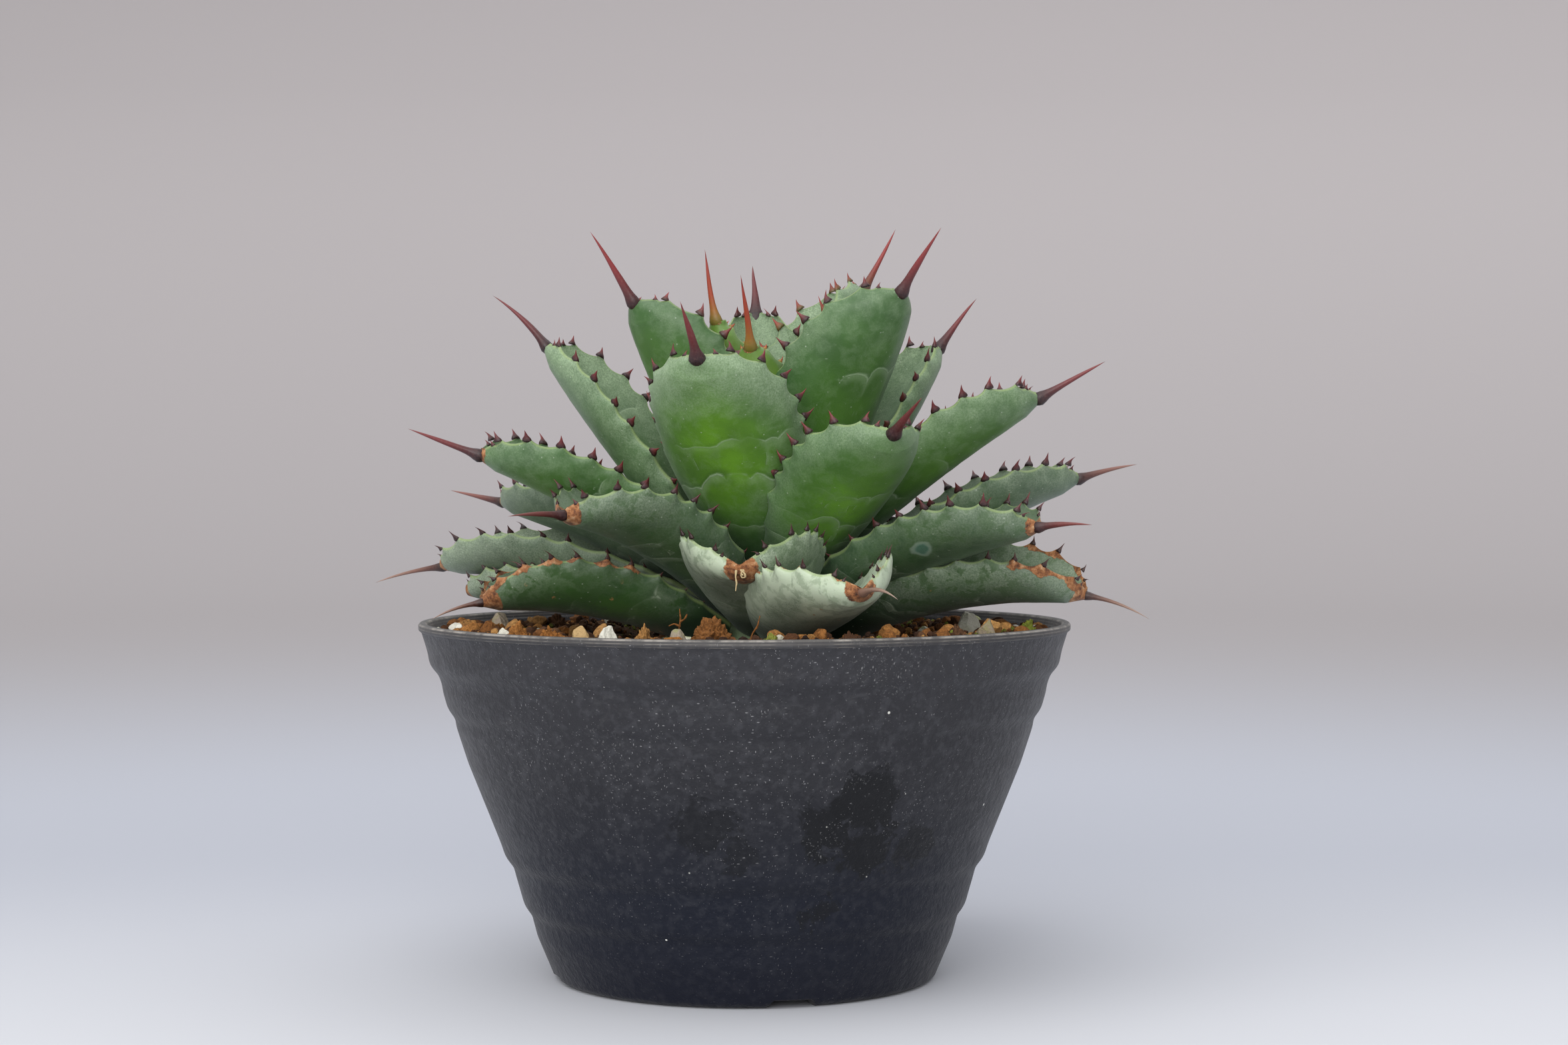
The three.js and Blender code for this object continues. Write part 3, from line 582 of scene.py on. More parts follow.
# Where the prints of a neighbour's margins lie: height of the middle and slope of the two sides as
# shares, how wide across, and how clear.
PRINT_ROWS = [(0.63, 0.3, 0.5, 0.75), (0.42, 0.75, 0.95, 1.0), (0.25, 0.45, 0.6, 0.7)]
LOBE_WIDTH, LOBE_WIDTH_RANGE, LOBES = 2.8, 3.2, 14
FAR = 9.0  # mm, for no print or bruise near


def print_field(blade, face, along, across):
    """Signed distance to the nearest row of lobes, negative on its stem side, and its strength."""
    core = np.stack([along, across, np.full_like(along, blade.rank * 13.0 + face * 5)], -1)
    bent_along = along + 1.3 * lumps(core, 6.0, 31)
    bent_across = across + 1.3 * lumps(core, 6.0, 37)
    nearest, strength = np.full_like(along, FAR), np.zeros_like(along)
    for index, (height, steep, spread, clear) in enumerate(PRINT_ROWS):
        seed = blade.rank * 7 + (30 if face > 0 else 0) + index * 3 + 1
        draw = lambda n: chance(seed, n)
        top = blade.length * (height + 0.12 * (draw(1) - 0.5))
        off = bent_across - blade.half * 0.6 * (draw(2) - 0.5)
        fall = steep * (0.6 + 0.6 * draw(3))
        bow = np.sqrt(off**2 + 4.0)
        above = (bent_along - top + fall * (bow - 2.0)) / np.sqrt(1 + (fall * off / bow) ** 2)
        run = off * math.sqrt(1 + 0.6 * fall**2)
        widths = LOBE_WIDTH + LOBE_WIDTH_RANGE * draw(10 + np.arange(LOBES))
        edges = np.concatenate([[0], np.cumsum(widths)])
        edges = edges - edges[LOBES // 2] + 2.5 * draw(4)
        lobe = np.clip(np.searchsorted(edges, run) - 1, 0, LOBES - 1)
        width = edges[lobe + 1] - edges[lobe]
        x = np.clip(2 * (run - edges[lobe]) / width - 1, -0.995, 0.995)
        tall = width * (0.3 + 0.25 * draw(40 + lobe))
        root = np.sqrt(1 - x * x)
        steepness = np.minimum(4, tall * np.abs(x) / root * 2 / width)
        signed = (above - tall * root) / np.sqrt(1 + steepness**2)
        power = clear * np.where(draw(70 + lobe) < 0.3, 0.15, 0.6 + 0.4 * draw(100 + lobe))
        power = power * ease(spread + 0.25, spread, np.abs(off) / blade.half)
        power = power * ease(2.4, 1.2, np.abs(signed))
        closer = np.abs(signed) < np.abs(nearest)
        nearest, strength = np.where(closer, signed, nearest), np.where(closer, power, strength)
    return nearest, strength


# How a leaf looks: vivid (yellow-green middle), bloom, rust (mm round the tip), dark (green patches
# rubbed free of bloom), soil shade (painted shade on its low parts near the soil), margin (width of
# the corky margin in mm), start (its share of the way), bare (share of the bloom lost on the right
# half). What a row leaves out at its end is plain, or old for the first leaves.
PLAIN_LOOK = (0.35, 0.3, 0.1, 0, 0, 0, 0.5, 0)
OLD_LOOK = (0.35, 0.45, 2.0, 0.4, 0.5, 0, 0.5, 0)
OLD_LEAVES = 9
LOOKS = {
    1: (0.75, 0.2, 3.2, 1.0, 0.9, 0.9, 0.42),
    2: (0.15, 0.42, 2.6, 0.8, 0.7, 1.4, 0.74),
    3: (0.6, 0.6, 1.4, 0.4, 0.3),
    4: (0.1, 1.5, 1.7, 0.42, 0.8, 0.3, 0.3),
    5: (0.3, 0.5, 2.5, 0.6, 0.6, 0.8),
    6: (0.1, 1.25, 2.3, 0.5, 0.6, 0, 0.5, 0.5),
    7: (0.15, 0.55, 2.0, 0.3, 0.3),
    10: (0.4, 0.32, 2.4, 0.75, 0.5),
    11: (0.3, 0.2, 1.8, 0.65, 0.5),
    12: (0.25, 0.34, 1.0, 0, 0.3),
    13: (0.5, 0.26),
    15: (0.6, 0.1, 1.2, 0, 0.2),
    17: (0.45, 0.45),
    18: (0.85, 0.28, 0.1, 0.3),
    19: (0.2, 0.45),
    20: (0.7, 0.24),
    22: (1.0, 0.46),
    23: (0.42, 0.06),
    24: (0.6, 0.04),
    25: (0.35, 0.5),
    26: (0.45, 0.4),
    27: (0.9, 0.05, 0.4),
    28: (1.0, 0.0, 0.4),
}
BRUISED_LEAF, BRUISE_PLACE, BRUISE_RADIUS = 11, (0.62, -0.57), 2.1
TORN_LEAF = 6  # has a torn dry tip instead of a spine
STATIONS, ACROSS = 140, 37


def make_leaf(number, material):
    blade = Blade(number - 1)
    look, plain = LOOKS.get(number, ()), OLD_LOOK if number <= OLD_LEAVES else PLAIN_LOOK
    vividness, waxiness, rusty, rubbed, soil_shade, corky, corky_from, bare = look + plain[len(look):]
    u = 1 - (1 - np.linspace(0, 1, STATIONS)) ** 1.15
    v = np.sin(np.pi / 2 * np.linspace(-1, 1, ACROSS))
    uu, vv = np.meshgrid(u, v, indexing="ij")
    half = blade.half_width(uu)
    along, across = uu * blade.length, vv * half
    swell = {side: scallops(blade, side, u)[:, None] for side in (-1, 1)}
    wider = sum(ease(0.88, 1.0, vv * side) * swell[side] for side in (-1, 1))
    margin_distance = np.maximum(0, half * (1 - np.abs(vv)) * 1.3)
    if number == TORN_LEAF:
        tip_distance, raggedness = np.hypot((blade.length - along) * 0.55, across * 1.15), 2.4
    else:
        tip_distance, raggedness = np.hypot(blade.length - along, across * 0.8), 1.2
    faces_points, tones, marks, wears = [], [], [], []
    for face in (1, -1):
        signed, strength = print_field(blade, face, along, across)
        strength = strength * ease(0.5, 3.0, margin_distance) * ease(0.1, 0.22, uu)
        strength = strength * ease(3, 8, tip_distance)
        core = np.stack([along, across, np.full_like(along, face * 9.0 + number * 31)], -1)
        relief = 0.07 * ease(0.4, -0.4, signed) * strength
        relief = relief + 0.12 * lumps(core, 8.0, 2) * (1 - vv**4) + 0.03 * lumps(core, 1.6, 5)
        relief = relief * np.sqrt(np.maximum(0, 1 - vv * vv))
        depth = blade.thickness(uu, vv) * (0 if face > 0 else 1) - face * relief
        points, inward = blade.point(uu, vv, depth, wider)
        # the margin waves gently up and down
        wave = 0.12 * np.sin(along / 2.6 + number) * ease(0.6, 1, np.abs(vv))
        wave = wave * ease(0.1, 0.3, uu) * ease(1, 0.8, uu)
        points = points + inward * wave[..., None]
        faces_points.append(points)

        broad = lumps(core, 11.0, 7)
        streak = lumps(core * np.array([0.3, 1.0, 1.0]), 2.6, 13)
        middle = np.exp(-((vv * 1.35) ** 2) - ((uu - 0.57) / 0.32) ** 2)
        vivid = vividness * (0.1 + middle) * (1.0 if face < 0 else 0.6) + 0.12 * broad
        rim = ease(0.35, 1.0, np.abs(vv)) * 0.3 + ease(0.55, 0.95, uu) * 0.32
        rim = rim - ease(0.35, 0.0, uu) * 0.3
        bloom = waxiness * 0.5 + rim * (0.15 + 1.15 * waxiness) + 0.12 * broad
        bloom = bloom - 0.34 * middle * vividness + (0.08 if face > 0 else 0)
        bloom = bloom + (0.1 + 0.5 * max(0, waxiness - 0.6)) * streak
        bloom = bloom * (1 - bare * ease(-0.1, 0.5, vv))
        # painted shade: darker towards the stem, and on the low parts near the soil
        foot = ease(0.42, 0.0, uu) * 0.9 + soil_shade * ease(69.0, 64.0, points[..., 2]) * 0.75
        dark = rubbed * (0.75 + 0.5 * broad)
        ragged = 0.5 * lumps(core, 2.2, 11)
        reach = tip_distance + raggedness * ragged
        rust = ease(rusty + 0.9, rusty - 0.5, reach)
        if corky > 0:
            to_tooth = np.abs(uu[..., None] - tooth_rows(blade, -1)[0]).min(-1)
            near_tooth = np.exp(-((to_tooth * blade.length / 1.3) ** 2))
            reach = corky * (0.35 + 0.75 * near_tooth)
            worn = ease(reach + 0.4, reach - 0.4, margin_distance + 1.2 * ragged + 0.3)
            worn = worn * ease(corky_from - 0.04, corky_from + 0.06, uu)
            rust = np.maximum(rust, worn * 0.95)
        bruise = np.full_like(along, FAR)
        if number == BRUISED_LEAF and face < 0:
            from_middle = along - BRUISE_PLACE[0] * blade.length
            bruise = np.hypot(from_middle, 1.3 * (across - BRUISE_PLACE[1] * blade.half))
            bruise = bruise - BRUISE_RADIUS + 3.5 * ragged
        tones.append(np.stack([unit(vivid), unit(bloom / BLOOM_RANGE), unit(foot)], -1))
        marks.append(np.stack([np.clip(signed, -6, 6), margin_distance, unit(dark)], -1))
        wears.append(np.stack([unit(rust), strength, np.clip(bruise, -FAR, FAR)], -1))

    # one closed loop of points at each station: over the upper face and back under the lower one
    loops = lambda pair: np.concatenate([pair[0], pair[1][:, -2:0:-1]], 1)
    with_ends = lambda values: np.vstack([values.reshape(-1, 3), values[0, :1], values[-1, :1]])
    points = loops(faces_points)
    sides, hub = points.shape[1], points.shape[0] * points.shape[1]
    faces = flipped(tube_faces(STATIONS, sides)) + fan(0, sides, hub)
    faces += flipped(fan(hub - sides, sides, hub + 1))
    points = np.vstack([points.reshape(-1, 3), points[0].mean(0), points[-1].mean(0)])
    layers = {"tone": tones, "mark": marks, "wear": wears}
    layers = {key: with_ends(loops(pair)) for key, pair in layers.items()}
    name, node = f"blade_{number:02d}", f"leaf_{number:02d}"
    mesh_piece(name, points, faces, material, node, layers)
    return blade


# A tooth from its sunk root to its tip: share of the way and share of the root's width.
TOOTH_FORM = [
    (0, 1.1), (0.14, 1.0), (0.26, 0.8), (0.38, 0.55), (0.5, 0.38),
    (0.64, 0.26), (0.78, 0.16), (0.91, 0.08), (1, 0.0),
]
TOOTH_SIDES = 10
TOOTH_SUNK, TOOTH_BEYOND = 0.55, 0.2  # mm inside the margin, and past the solid's tooth

# Colour of the horn: 0 weathered, 0.33 ripe maroon, 0.66 red, 1 the newest orange.
PLAIN_REDNESS = 0.36
SPINE_REDNESS = {
    1: 0.08, 2: 0.05, 4: 0.0, 7: 0.1, 10: 0.24, 11: 0.26, 12: 0.2, 13: 0.16, 15: 0.3,
    23: 0.55, 24: 0.6, 26: 0.75, 27: 1.0, 28: 1.0,
}
TOOTH_REDNESS = {22: 0.5, 23: 0.5, 24: 0.7, 26: 0.8, 27: 1.0, 28: 1.0}


def stoutness(number):
    """Old leaves have thinner spines and teeth."""
    return 0.64 + 0.36 * min(1, max(0, (number - 3) / 12))


def make_teeth(number, blade, horn):
    heap = Heap()
    redness = TOOTH_REDNESS.get(number, 0.1 + 0.4 * min(1, number / 18))
    shortness = 0.72 + 0.2 * min(1, number / 15)
    ripeness = 0.22 if number < 8 else 0.5 if number < 12 else 0.75
    angle = turns(TOOTH_SIDES)
    for side in (-1, 1):
        at, height, hook, small = tooth_rows(blade, side)
        edge, out, forward = blade.margin(at, side)
        swell = scallops(blade, side, at)
        for k in range(len(at)):
            across = np.cross(out[k], forward[k])
            root = edge[k] + out[k] * (swell[k] - TOOTH_SUNK)
            tall = height[k] * shortness - swell[k] * 0.9 + TOOTH_SUNK + TOOTH_BEYOND
            wide = (0.42 + 0.4 * min(1.1, height[k] / 2.6)) * (0.6 + 0.4 * small)
            wide = wide * stoutness(number)
            lean = 0.8 * (chance(number, k + 200 + 20 * side) - 0.5)
            curl = hook[k] + 0.9 * max(0, chance(number, k + 300 + 20 * side) - 0.7) / 0.3 * small
            rings, values = [], []
            for t, share in TOOTH_FORM:
                centre = root + out[k] * tall * t + forward[k] * curl * t**2.4 * 1.2
                centre = centre + across * lean * t**2.4
                ring = centre + forward[k] * (wide * share * np.cos(angle))[:, None]
                rings.append(ring + across * (0.62 * wide * share * np.sin(angle))[:, None])
                ripe = max(0, (t - 0.12) / 0.88) * ripeness
                values.append((ripe, redness, chance(number, k + 50)))
            heap.add_horn(rings, values)
    heap.piece(f"teeth_{number:02d}", horn, "spine_horn", "horn")


# An end spine from under the leaf's skin to its point: mm or share along, and share of the root.
SPINE_FORM = [(-2.6, 0.12), (-1.9, 0.36), (-1.2, 0.62), (-0.6, 0.84), (0.0, 0.98)]
SPINE_TAPER = [
    (0.04, 0.84), (0.09, 0.68), (0.15, 0.57), (0.23, 0.49), (0.33, 0.43), (0.45, 0.36),
    (0.57, 0.29), (0.69, 0.22), (0.81, 0.145), (0.92, 0.07), (1.0, 0.0),
]
SPINE_SIDES = 18
BLEACHED_SPINE = 4


def make_spine(number, blade, horn):
    at, along, across, up = (rows[0] for rows in blade.frames(np.array([1.0])))
    small = 0.8 if blade.half < YOUNG_HALF_WIDTH else 1.0
    middle = -(END_THICKNESS * 0.65) / 2
    wobble = 0.25 * (chance(number, 3) - 0.5)
    redness = SPINE_REDNESS.get(number, PLAIN_REDNESS)
    angle = turns(SPINE_SIDES)
    stations = [(reach, share, 0.0) for reach, share in SPINE_FORM]
    stations += [(GAP + blade.spine * share, girth, share) for share, girth in SPINE_TAPER]
    rings, values = [], []
    for reach, girth, share in stations:
        bend = math.radians(blade.bend) * share / 2
        ground = blade.frames(np.array([1 + min(0, reach) / blade.length]))[0]
        centre = ground[0] if reach < 0 else at + along * reach * math.cos(bend)
        centre = centre + up * (middle + max(0, reach) * math.sin(bend))
        centre = centre + across * wobble * math.sin(share * 5) * 1.2
        size = SPINE_ROOT * girth * small * stoutness(number)
        size = size * (1 + 0.05 * math.sin(9 * share + number))
        groove = np.exp(-(((angle - np.pi / 2) / 0.5) ** 2))
        groove = 1 - 0.22 * groove * (1 - share) * (reach > -1)
        ring = centre + across * (size * np.cos(angle) * groove)[:, None]
        rings.append(ring + up * (size * 0.86 * np.sin(angle) * groove)[:, None])
        ripe = share if number != BLEACHED_SPINE else 0.45 + 0.5 * share
        values.append((ripe, redness, chance(number, 77)))
    heap = Heap()
    heap.add_horn(rings, values)
    heap.piece(f"thorn_{number:02d}", horn, "spine_horn", "horn", f"spine_{number:02d}")


# ---------------- pot

RIM_RADIUS, WALL = 60.0, 1.6
FOOT_INNER_RADIUS, RECESS_HEIGHT, FLOOR_TOP, DRAIN_RADIUS = 31.0, 2.2, 4.2, 6.0
NOTCHES, NOTCH_FIRST_TURN, NOTCH_BOTTOM, NOTCH_HEIGHT = 4, 13.6, 8.0, 1.5
OUTER_WALL = [
    (34.2, 0), (35.4, 0.9), (38.4, 8), (38.9, 10), (41.4, 16), (42.4, 19.4), (45, 25), (51, 40),
    (53.6, 48), (55.5, 52.7), (55.8, 54.6), (57.5, 57.6), (59.5, 64.0),
]
LIP = [
    (59.72, 64.15), (59.95, 64.3), (RIM_RADIUS, 64.5), (RIM_RADIUS, 65.2), (59.86, 65.45),
    (59.6, 65.6), (58.9, 65.6), (58.5, 65.45), (58.3, 65.1),
]
WAISTS, WAIST_RELIEF = (12.5, 21.5, 48.8, 56.9), 0.24
POT_SIDES = 360


def wall_radius(height):
    radii, heights = zip(*OUTER_WALL)
    return np.interp(height, heights, radii)


def smooth_wall():
    """The wall's outline with its waists softened: radius and height of each point."""
    heights = np.arange(0.9, 64.01, 0.45)
    radii = wall_radius(heights)
    kernel = np.array([1, 3, 5, 3, 1]) / 13
    soft = np.convolve(np.pad(radii, 2, mode="edge"), kernel, "valid")
    for waist in WAISTS:
        soft += WAIST_RELIEF * np.exp(-(((heights - waist - 1.5) / 1.5) ** 2))
        soft -= WAIST_RELIEF * np.exp(-(((heights - waist + 0.7) / 1.1) ** 2))
    soft[:2], soft[-2:] = radii[:2], radii[-2:]
    return list(zip(soft, heights))


def make_pot(material):
    inner_wall = [(wall_radius(h) - WALL, h) for h in (60, 54.6, 47, 40, 28, 16, 8, FLOOR_TOP)]
    outline = [(FOOT_INNER_RADIUS + 0.3, 0.0), (33.2, 0.0), (34.0, 0.05), (34.6, 0.35)]
    outline += smooth_wall() + LIP + inner_wall
    outline += [(DRAIN_RADIUS, FLOOR_TOP), (DRAIN_RADIUS, RECESS_HEIGHT), (20, RECESS_HEIGHT)]
    outline += [(FOOT_INNER_RADIUS + 0.3, RECESS_HEIGHT - 0.05)]
    outline += [(FOOT_INNER_RADIUS, 1.6), (FOOT_INNER_RADIUS, 0.3)]
    outline = np.array(outline)
    turn = turns(POT_SIDES)
    radius = np.repeat(outline[:, :1], POT_SIDES, 1)
    height = np.repeat(outline[:, 1:], POT_SIDES, 1)
    # drain notches lift what lies under their roof
    for k in range(NOTCHES):
        centre = math.radians(NOTCH_FIRST_TURN + 90 * k)
        off = np.angle(np.exp(1j * (turn - centre))) * 33.0
        roof = NOTCH_HEIGHT * unit((NOTCH_BOTTOM / 2 + 0.2 - np.abs(off)) / 0.8)
        height = np.where((radius < 39) & (radius > 30.5) & (height < roof), roof, height)
    # thin moulded walls are never quite round
    uneven = 0.12 * np.sin(2 * turn + 0.6) + 0.06 * np.sin(5 * turn + 2)
    radius = radius + uneven * unit(height / 60) * (height < 64.4) * 0.8
    points = around(radius, turn, height).reshape(-1, 3)
    faces = tube_faces(len(outline), POT_SIDES, closed=True)
    mesh_piece("pot_shell", points, faces, material, "pot")


PLASTIC_SPAN = 15.0  # per metre of height, for the ramp from foot to rim
# The plastic's colour from foot to rim, with painted shade: darker and bluer towards the foot.
PLASTIC_WITH_FOOT_SHADE = [(0, 2.2, 3.5, 11), (30, 3.5, 5.5, 13.5), (60, 15.5, 16, 20.5), (95, 28.5, 28.5, 33)]
# Dark dried stains on the front of the wall: centre, radius and strength.
STAINS = [
    ((20, -44.5, 37), 6.2, 0.9), ((14, -45.5, 33), 4.6, 0.85), ((21, -42, 28.7), 5.4, 0.85),
    ((29, -36, 28), 4.2, 0.75), ((-7, -47, 33), 4.8, 0.6), ((-1, -46, 29), 3.6, 0.55),
    ((13, -39.5, 17.5), 2.4, 0.7),
]
# Patches with lime on the wall.
LIME = [
    ((24, -54, 62.4), 7.0, 0.9), ((17, -45, 45), 5.5, 0.45),
    ((-22, -46, 47), 5.0, 0.4), ((14, -46, 30), 1.6, 0.8),
]
STAIN_RAGGED, LIME_RAGGED, PATCH_EDGE = 16.0, 18.0, 0.9
# Fine hairs: how they are stretched and turned, their size and share.
HAIRS = [
    ((1, 1, 0.35), 0.6, 0.75, 0.7), ((0.35, 1, 1), 0.35, 0.85, 0.7),
    ((1, 0.4, 1), 1.1, 0.65, 0.7), ((1, 0.8, 0.9), 0.2, 0.6, 0.5),
]
# Pale flecks: size of their cells, radius, share and brightness.
FLECKS = [(3.4, 0.06, 0.22, 0.45), (8.0, 0.04, 0.3, 0.75)]
LIP_BOTTOM, LIP_WHOLE = 0.0642, 0.0648
# Worn lines round the lip: height and reach in metres, and brightness. The top one, on the
# rounded rim, is also a painted highlight.
WORN_AND_HIGHLIGHT_LINES = [(0.0654, 0.00022, 0.36), (0.0648, 0.0001, 0.2), (0.06425, 0.0001, 0.15)]


def pot_material():
    m = Shade("pot_plastic")
    z = m.parts(m.place)[2]
    pebble = m.noise(1.5, 3.0, 0.55)
    fine = m.noise(0.45, 2.0, 0.6)
    broad = m.noise(14.0, 4.0, 0.6)
    streak = m.noise(4.0, 5.0, 0.7, 0.8)
    # painted shade: the plastic is painted darker towards the foot, and the grey patches, pebble
    # tips and hairs fade out there
    fade_into_foot_shade = m.span(z, 0.004, 0.05, 0.3, 1.0)
    m.colour = m.ramp(m.times(z, PLASTIC_SPAN), PLASTIC_WITH_FOOT_SHADE)
    m.paint(m.times(m.span(broad, 0.35, 0.7, 0.0, 0.25), fade_into_foot_shade), (0.034, 0.035, 0.041))
    # painted highlight: the raised tips of the pebbling are lighter
    m.paint(m.times(m.span(pebble, 0.45, 0.7, 0.0, 0.3), fade_into_foot_shade), (0.07, 0.072, 0.082))

    def near(centre, radius, ragged):
        """Full within radius mm of a centre, with an edge that strays."""
        inputs = {0: m.place, 1: [c * MM for c in centre]}
        away = m.node("ShaderNodeVectorMath", inputs, operation="DISTANCE").outputs["Value"]
        away = m.plus(away, m.times(m.math("SUBTRACT", streak, 0.5), ragged * MM))
        return m.span(away, (radius - PATCH_EDGE) * MM, (radius + PATCH_EDGE) * MM, 1.0, 0.0)

    for centre, radius, strength in STAINS:
        m.paint(m.times(near(centre, radius, STAIN_RAGGED), strength), (0.003, 0.0035, 0.005))

    # dust and lime: fine hairs and dots, thick on the lip at places
    dust = m.times(m.span(streak, 0.56, 0.76), m.span(z, 0.02, 0.064, 0.03, 0.2))
    m.paint(dust, (0.13, 0.13, 0.135))
    cloudy = m.times(m.span(broad, 0.36, 0.6, 0.25, 1.0), fade_into_foot_shade)
    for scales, turn, size, share in HAIRS:
        m.paint(m.times(m.dots(size, 0.13, share, scales, turn), cloudy, 0.75), (0.24, 0.24, 0.25))
    spots = m.dots(0.8, 0.2, 0.5, (1, 1, 0.5), 0.9)
    spots = m.math("MAXIMUM", spots, m.span(fine, 0.6, 0.7, 0.0, 0.6))
    for centre, radius, strength in LIME:
        m.paint(m.times(near(centre, radius, LIME_RAGGED), spots, strength * 0.5), (0.3, 0.3, 0.3))
    for size, radius, share, shade in FLECKS:
        m.paint(m.times(m.dots(size, radius, share), 0.9), (shade, shade, shade * 0.92))

    worn = m.span(m.noise(5.0, 4.0, 0.65), 0.4, 0.62, 0.15, 0.75)
    m.paint(m.times(m.span(z, LIP_BOTTOM, LIP_WHOLE), 0.4), (0.09, 0.085, 0.08))
    # scuffed lines; the top one, on the rim, is also a painted highlight
    for height, reach, shade in WORN_AND_HIGHLIGHT_LINES:
        away = m.math("ABSOLUTE", m.math("SUBTRACT", z, height))
        line = m.times(m.span(away, reach * 0.4, reach, 1.0, 0.0), worn)
        m.paint(line, (shade, shade * 0.93, shade * 0.84))

    height = m.plus(m.times(pebble, 0.9), m.times(fine, 0.3))
    height = m.times(height, m.span(z, 0.0638, 0.0644, 1.0, 0.15))
    rough = m.span(streak, 0.3, 0.7, 0.44, 0.56)
    plain = dict(Specular_IOR_Level=0.25, Sheen_Weight=0.08, Sheen_Roughness=0.4)
    return m.finish(rough, m.bump(height, 0.3), **plain)


# ---------------- soil

GOLDEN = (1 + 5**0.5) / 2
ICOSAHEDRON = [
    (0, 11, 5), (0, 5, 1), (0, 1, 7), (0, 7, 10), (0, 10, 11), (1, 5, 9), (5, 11, 4),
    (11, 10, 2), (10, 7, 6), (7, 1, 8), (3, 9, 4), (3, 4, 2), (3, 2, 6), (3, 6, 8), (3, 8, 9),
    (4, 9, 5), (2, 4, 11), (6, 2, 10), (8, 6, 7), (9, 8, 1),
]
GRAIN_CUTS, GRAIN_CUT_AT = 9, (0.55, 0.9)


def grain_shape(seed, rough, steps=2, crumb=2.2):
    """A small angular lump: a subdivided icosahedron cut back by a few planes and roughened."""
    corners = [(x, y, 0) for y in (GOLDEN, -GOLDEN) for x in (-1, 1)]
    corners = np.vstack([np.roll(corners, k, 1) for k in range(3)])
    points = [c / np.linalg.norm(c) for c in corners]
    faces = ICOSAHEDRON
    for _ in range(steps):
        middle, finer = {}, []

        def half_way(a, b):
            key = (min(a, b), max(a, b))
            if key not in middle:
                p = points[a] + points[b]
                middle[key] = len(points)
                points.append(p / np.linalg.norm(p))
            return middle[key]

        for a, b, c in faces:
            ab, bc, ca = half_way(a, b), half_way(b, c), half_way(c, a)
            finer += [(a, ab, ca), (b, bc, ab), (c, ca, bc), (ab, bc, ca)]
        faces = finer
    points = np.array(points)
    draw = np.random.default_rng(seed)
    for _ in range(GRAIN_CUTS):
        normal = draw.normal(size=3)
        normal /= np.linalg.norm(normal)
        over = points @ normal - draw.uniform(*GRAIN_CUT_AT)
        points = points - np.where(over > 0, over, 0)[:, None] * normal
    points = points * (1 + rough * lumps(points * crumb + seed, 1.0, seed % 7)[:, None])
    return points * draw.uniform(0.72, 1.0, 3), faces


def tree_of(thing):
    """For looking down on a mesh: see height_of."""
    mesh = thing.data
    corners = [v.co.copy() for v in mesh.vertices]
    return BVHTree.FromPolygons(corners, [p.vertices[:] for p in mesh.polygons])


def height_of(tree, x, y):
    """Height of the top in mm at a place, or None beside it."""
    hit = tree.ray_cast(Vector((x * MM, y * MM, 0.2)), Vector((0, 0, -1)))
    return hit[0].z / MM if hit[0] is not None else None


SOIL_LEVEL, SOIL_DIP, SOIL_DIP_RADII, SOIL_EDGE, SOIL_FOOT = 63.0, 3.4, (26, 46), 56.95, 4.6
SOIL_RINGS, SOIL_SECTORS = 96, 420
SOIL_CLEARANCE = 0.45  # mm between the soil and the pot's wall
HEAPED_IN_FRONT = 1.7  # mm that the loose grit lies higher behind the front of the lip


def make_soil_bed(material):
    """The soil as one closed crumbly body, from near the pot's floor to its uneven top."""
    turn = turns(SOIL_SECTORS)
    radii = SOIL_EDGE * (np.arange(1, SOIL_RINGS + 1) / SOIL_RINGS) ** 0.85
    r, a = np.meshgrid(radii, turn, indexing="ij")
    flat = around(r, a, 0.0)
    low, high = SOIL_DIP_RADII
    top = SOIL_LEVEL - SOIL_DIP * (1 - unit((r - low) / (high - low)))
    rise = 0.8 * lumps(flat, 4.0, 3) + 0.6 * lumps(flat, 1.7, 8)
    rise = rise + 0.25 * np.abs(lumps(flat, 0.8, 12))
    in_front = ease(-0.3, 0.5, np.cos(a + 0.1))
    rise = rise + HEAPED_IN_FRONT * in_front * ease(44, 49, r) * ease(56.9, 55.5, r)
    flat[..., 2] = top + rise * ease(SOIL_EDGE + 1, SOIL_EDGE - 3, r)
    heights = (54.6, 40, 28, 16, SOIL_FOOT)
    walls = [around(wall_radius(h) - WALL - SOIL_CLEARANCE, turn, h) for h in heights]
    ends = [(0, 0, flat[0, :, 2].mean()), (0, 0, SOIL_FOOT)]
    points = np.vstack([flat.reshape(-1, 3)] + walls + [ends])
    hub = len(points) - len(ends)
    faces = flipped(tube_faces(SOIL_RINGS + len(heights), SOIL_SECTORS))
    faces += fan(0, SOIL_SECTORS, hub) + flipped(fan(hub - SOIL_SECTORS, SOIL_SECTORS, hub + 1))
    return mesh_piece("soil_bed", points, faces, material, "soil")


# Clumps that stand above the lip, as in the part's source: x, y, half width, top and kind.
CLUMP_FOOT = 60
FRONT_CLUMPS = [
    (-41.5, -35, 1.8, 66.6, "pumice"),
    (-38.5, -38.5, 2.8, 68, "clay"),
    (-32.5, -43, 2.5, 67.8, "clay"),
    (-27.8, -46.5, 1.7, 67.4, "ochre"),
    (-23, -49, 2.3, 67.6, "pumice"),
    (-17, -50, 2.1, 68.2, "clay"),
    (-11.3, -52, 1.7, 67, "stone"),
    (-6, -49, 3.6, 69.2, "clay"),
    (4.5, -53, 2, 66.5, "moss"),
    (18.5, -48.5, 3.1, 67.2, "dark"),
    (27, -46, 2, 66.2, "clay"),
    (36.5, -39, 2.4, 67.4, "dark"),
    (42, -33, 2.6, 68.2, "stone"),
    (50.5, -19, 1.5, 67.2, "moss"),
]
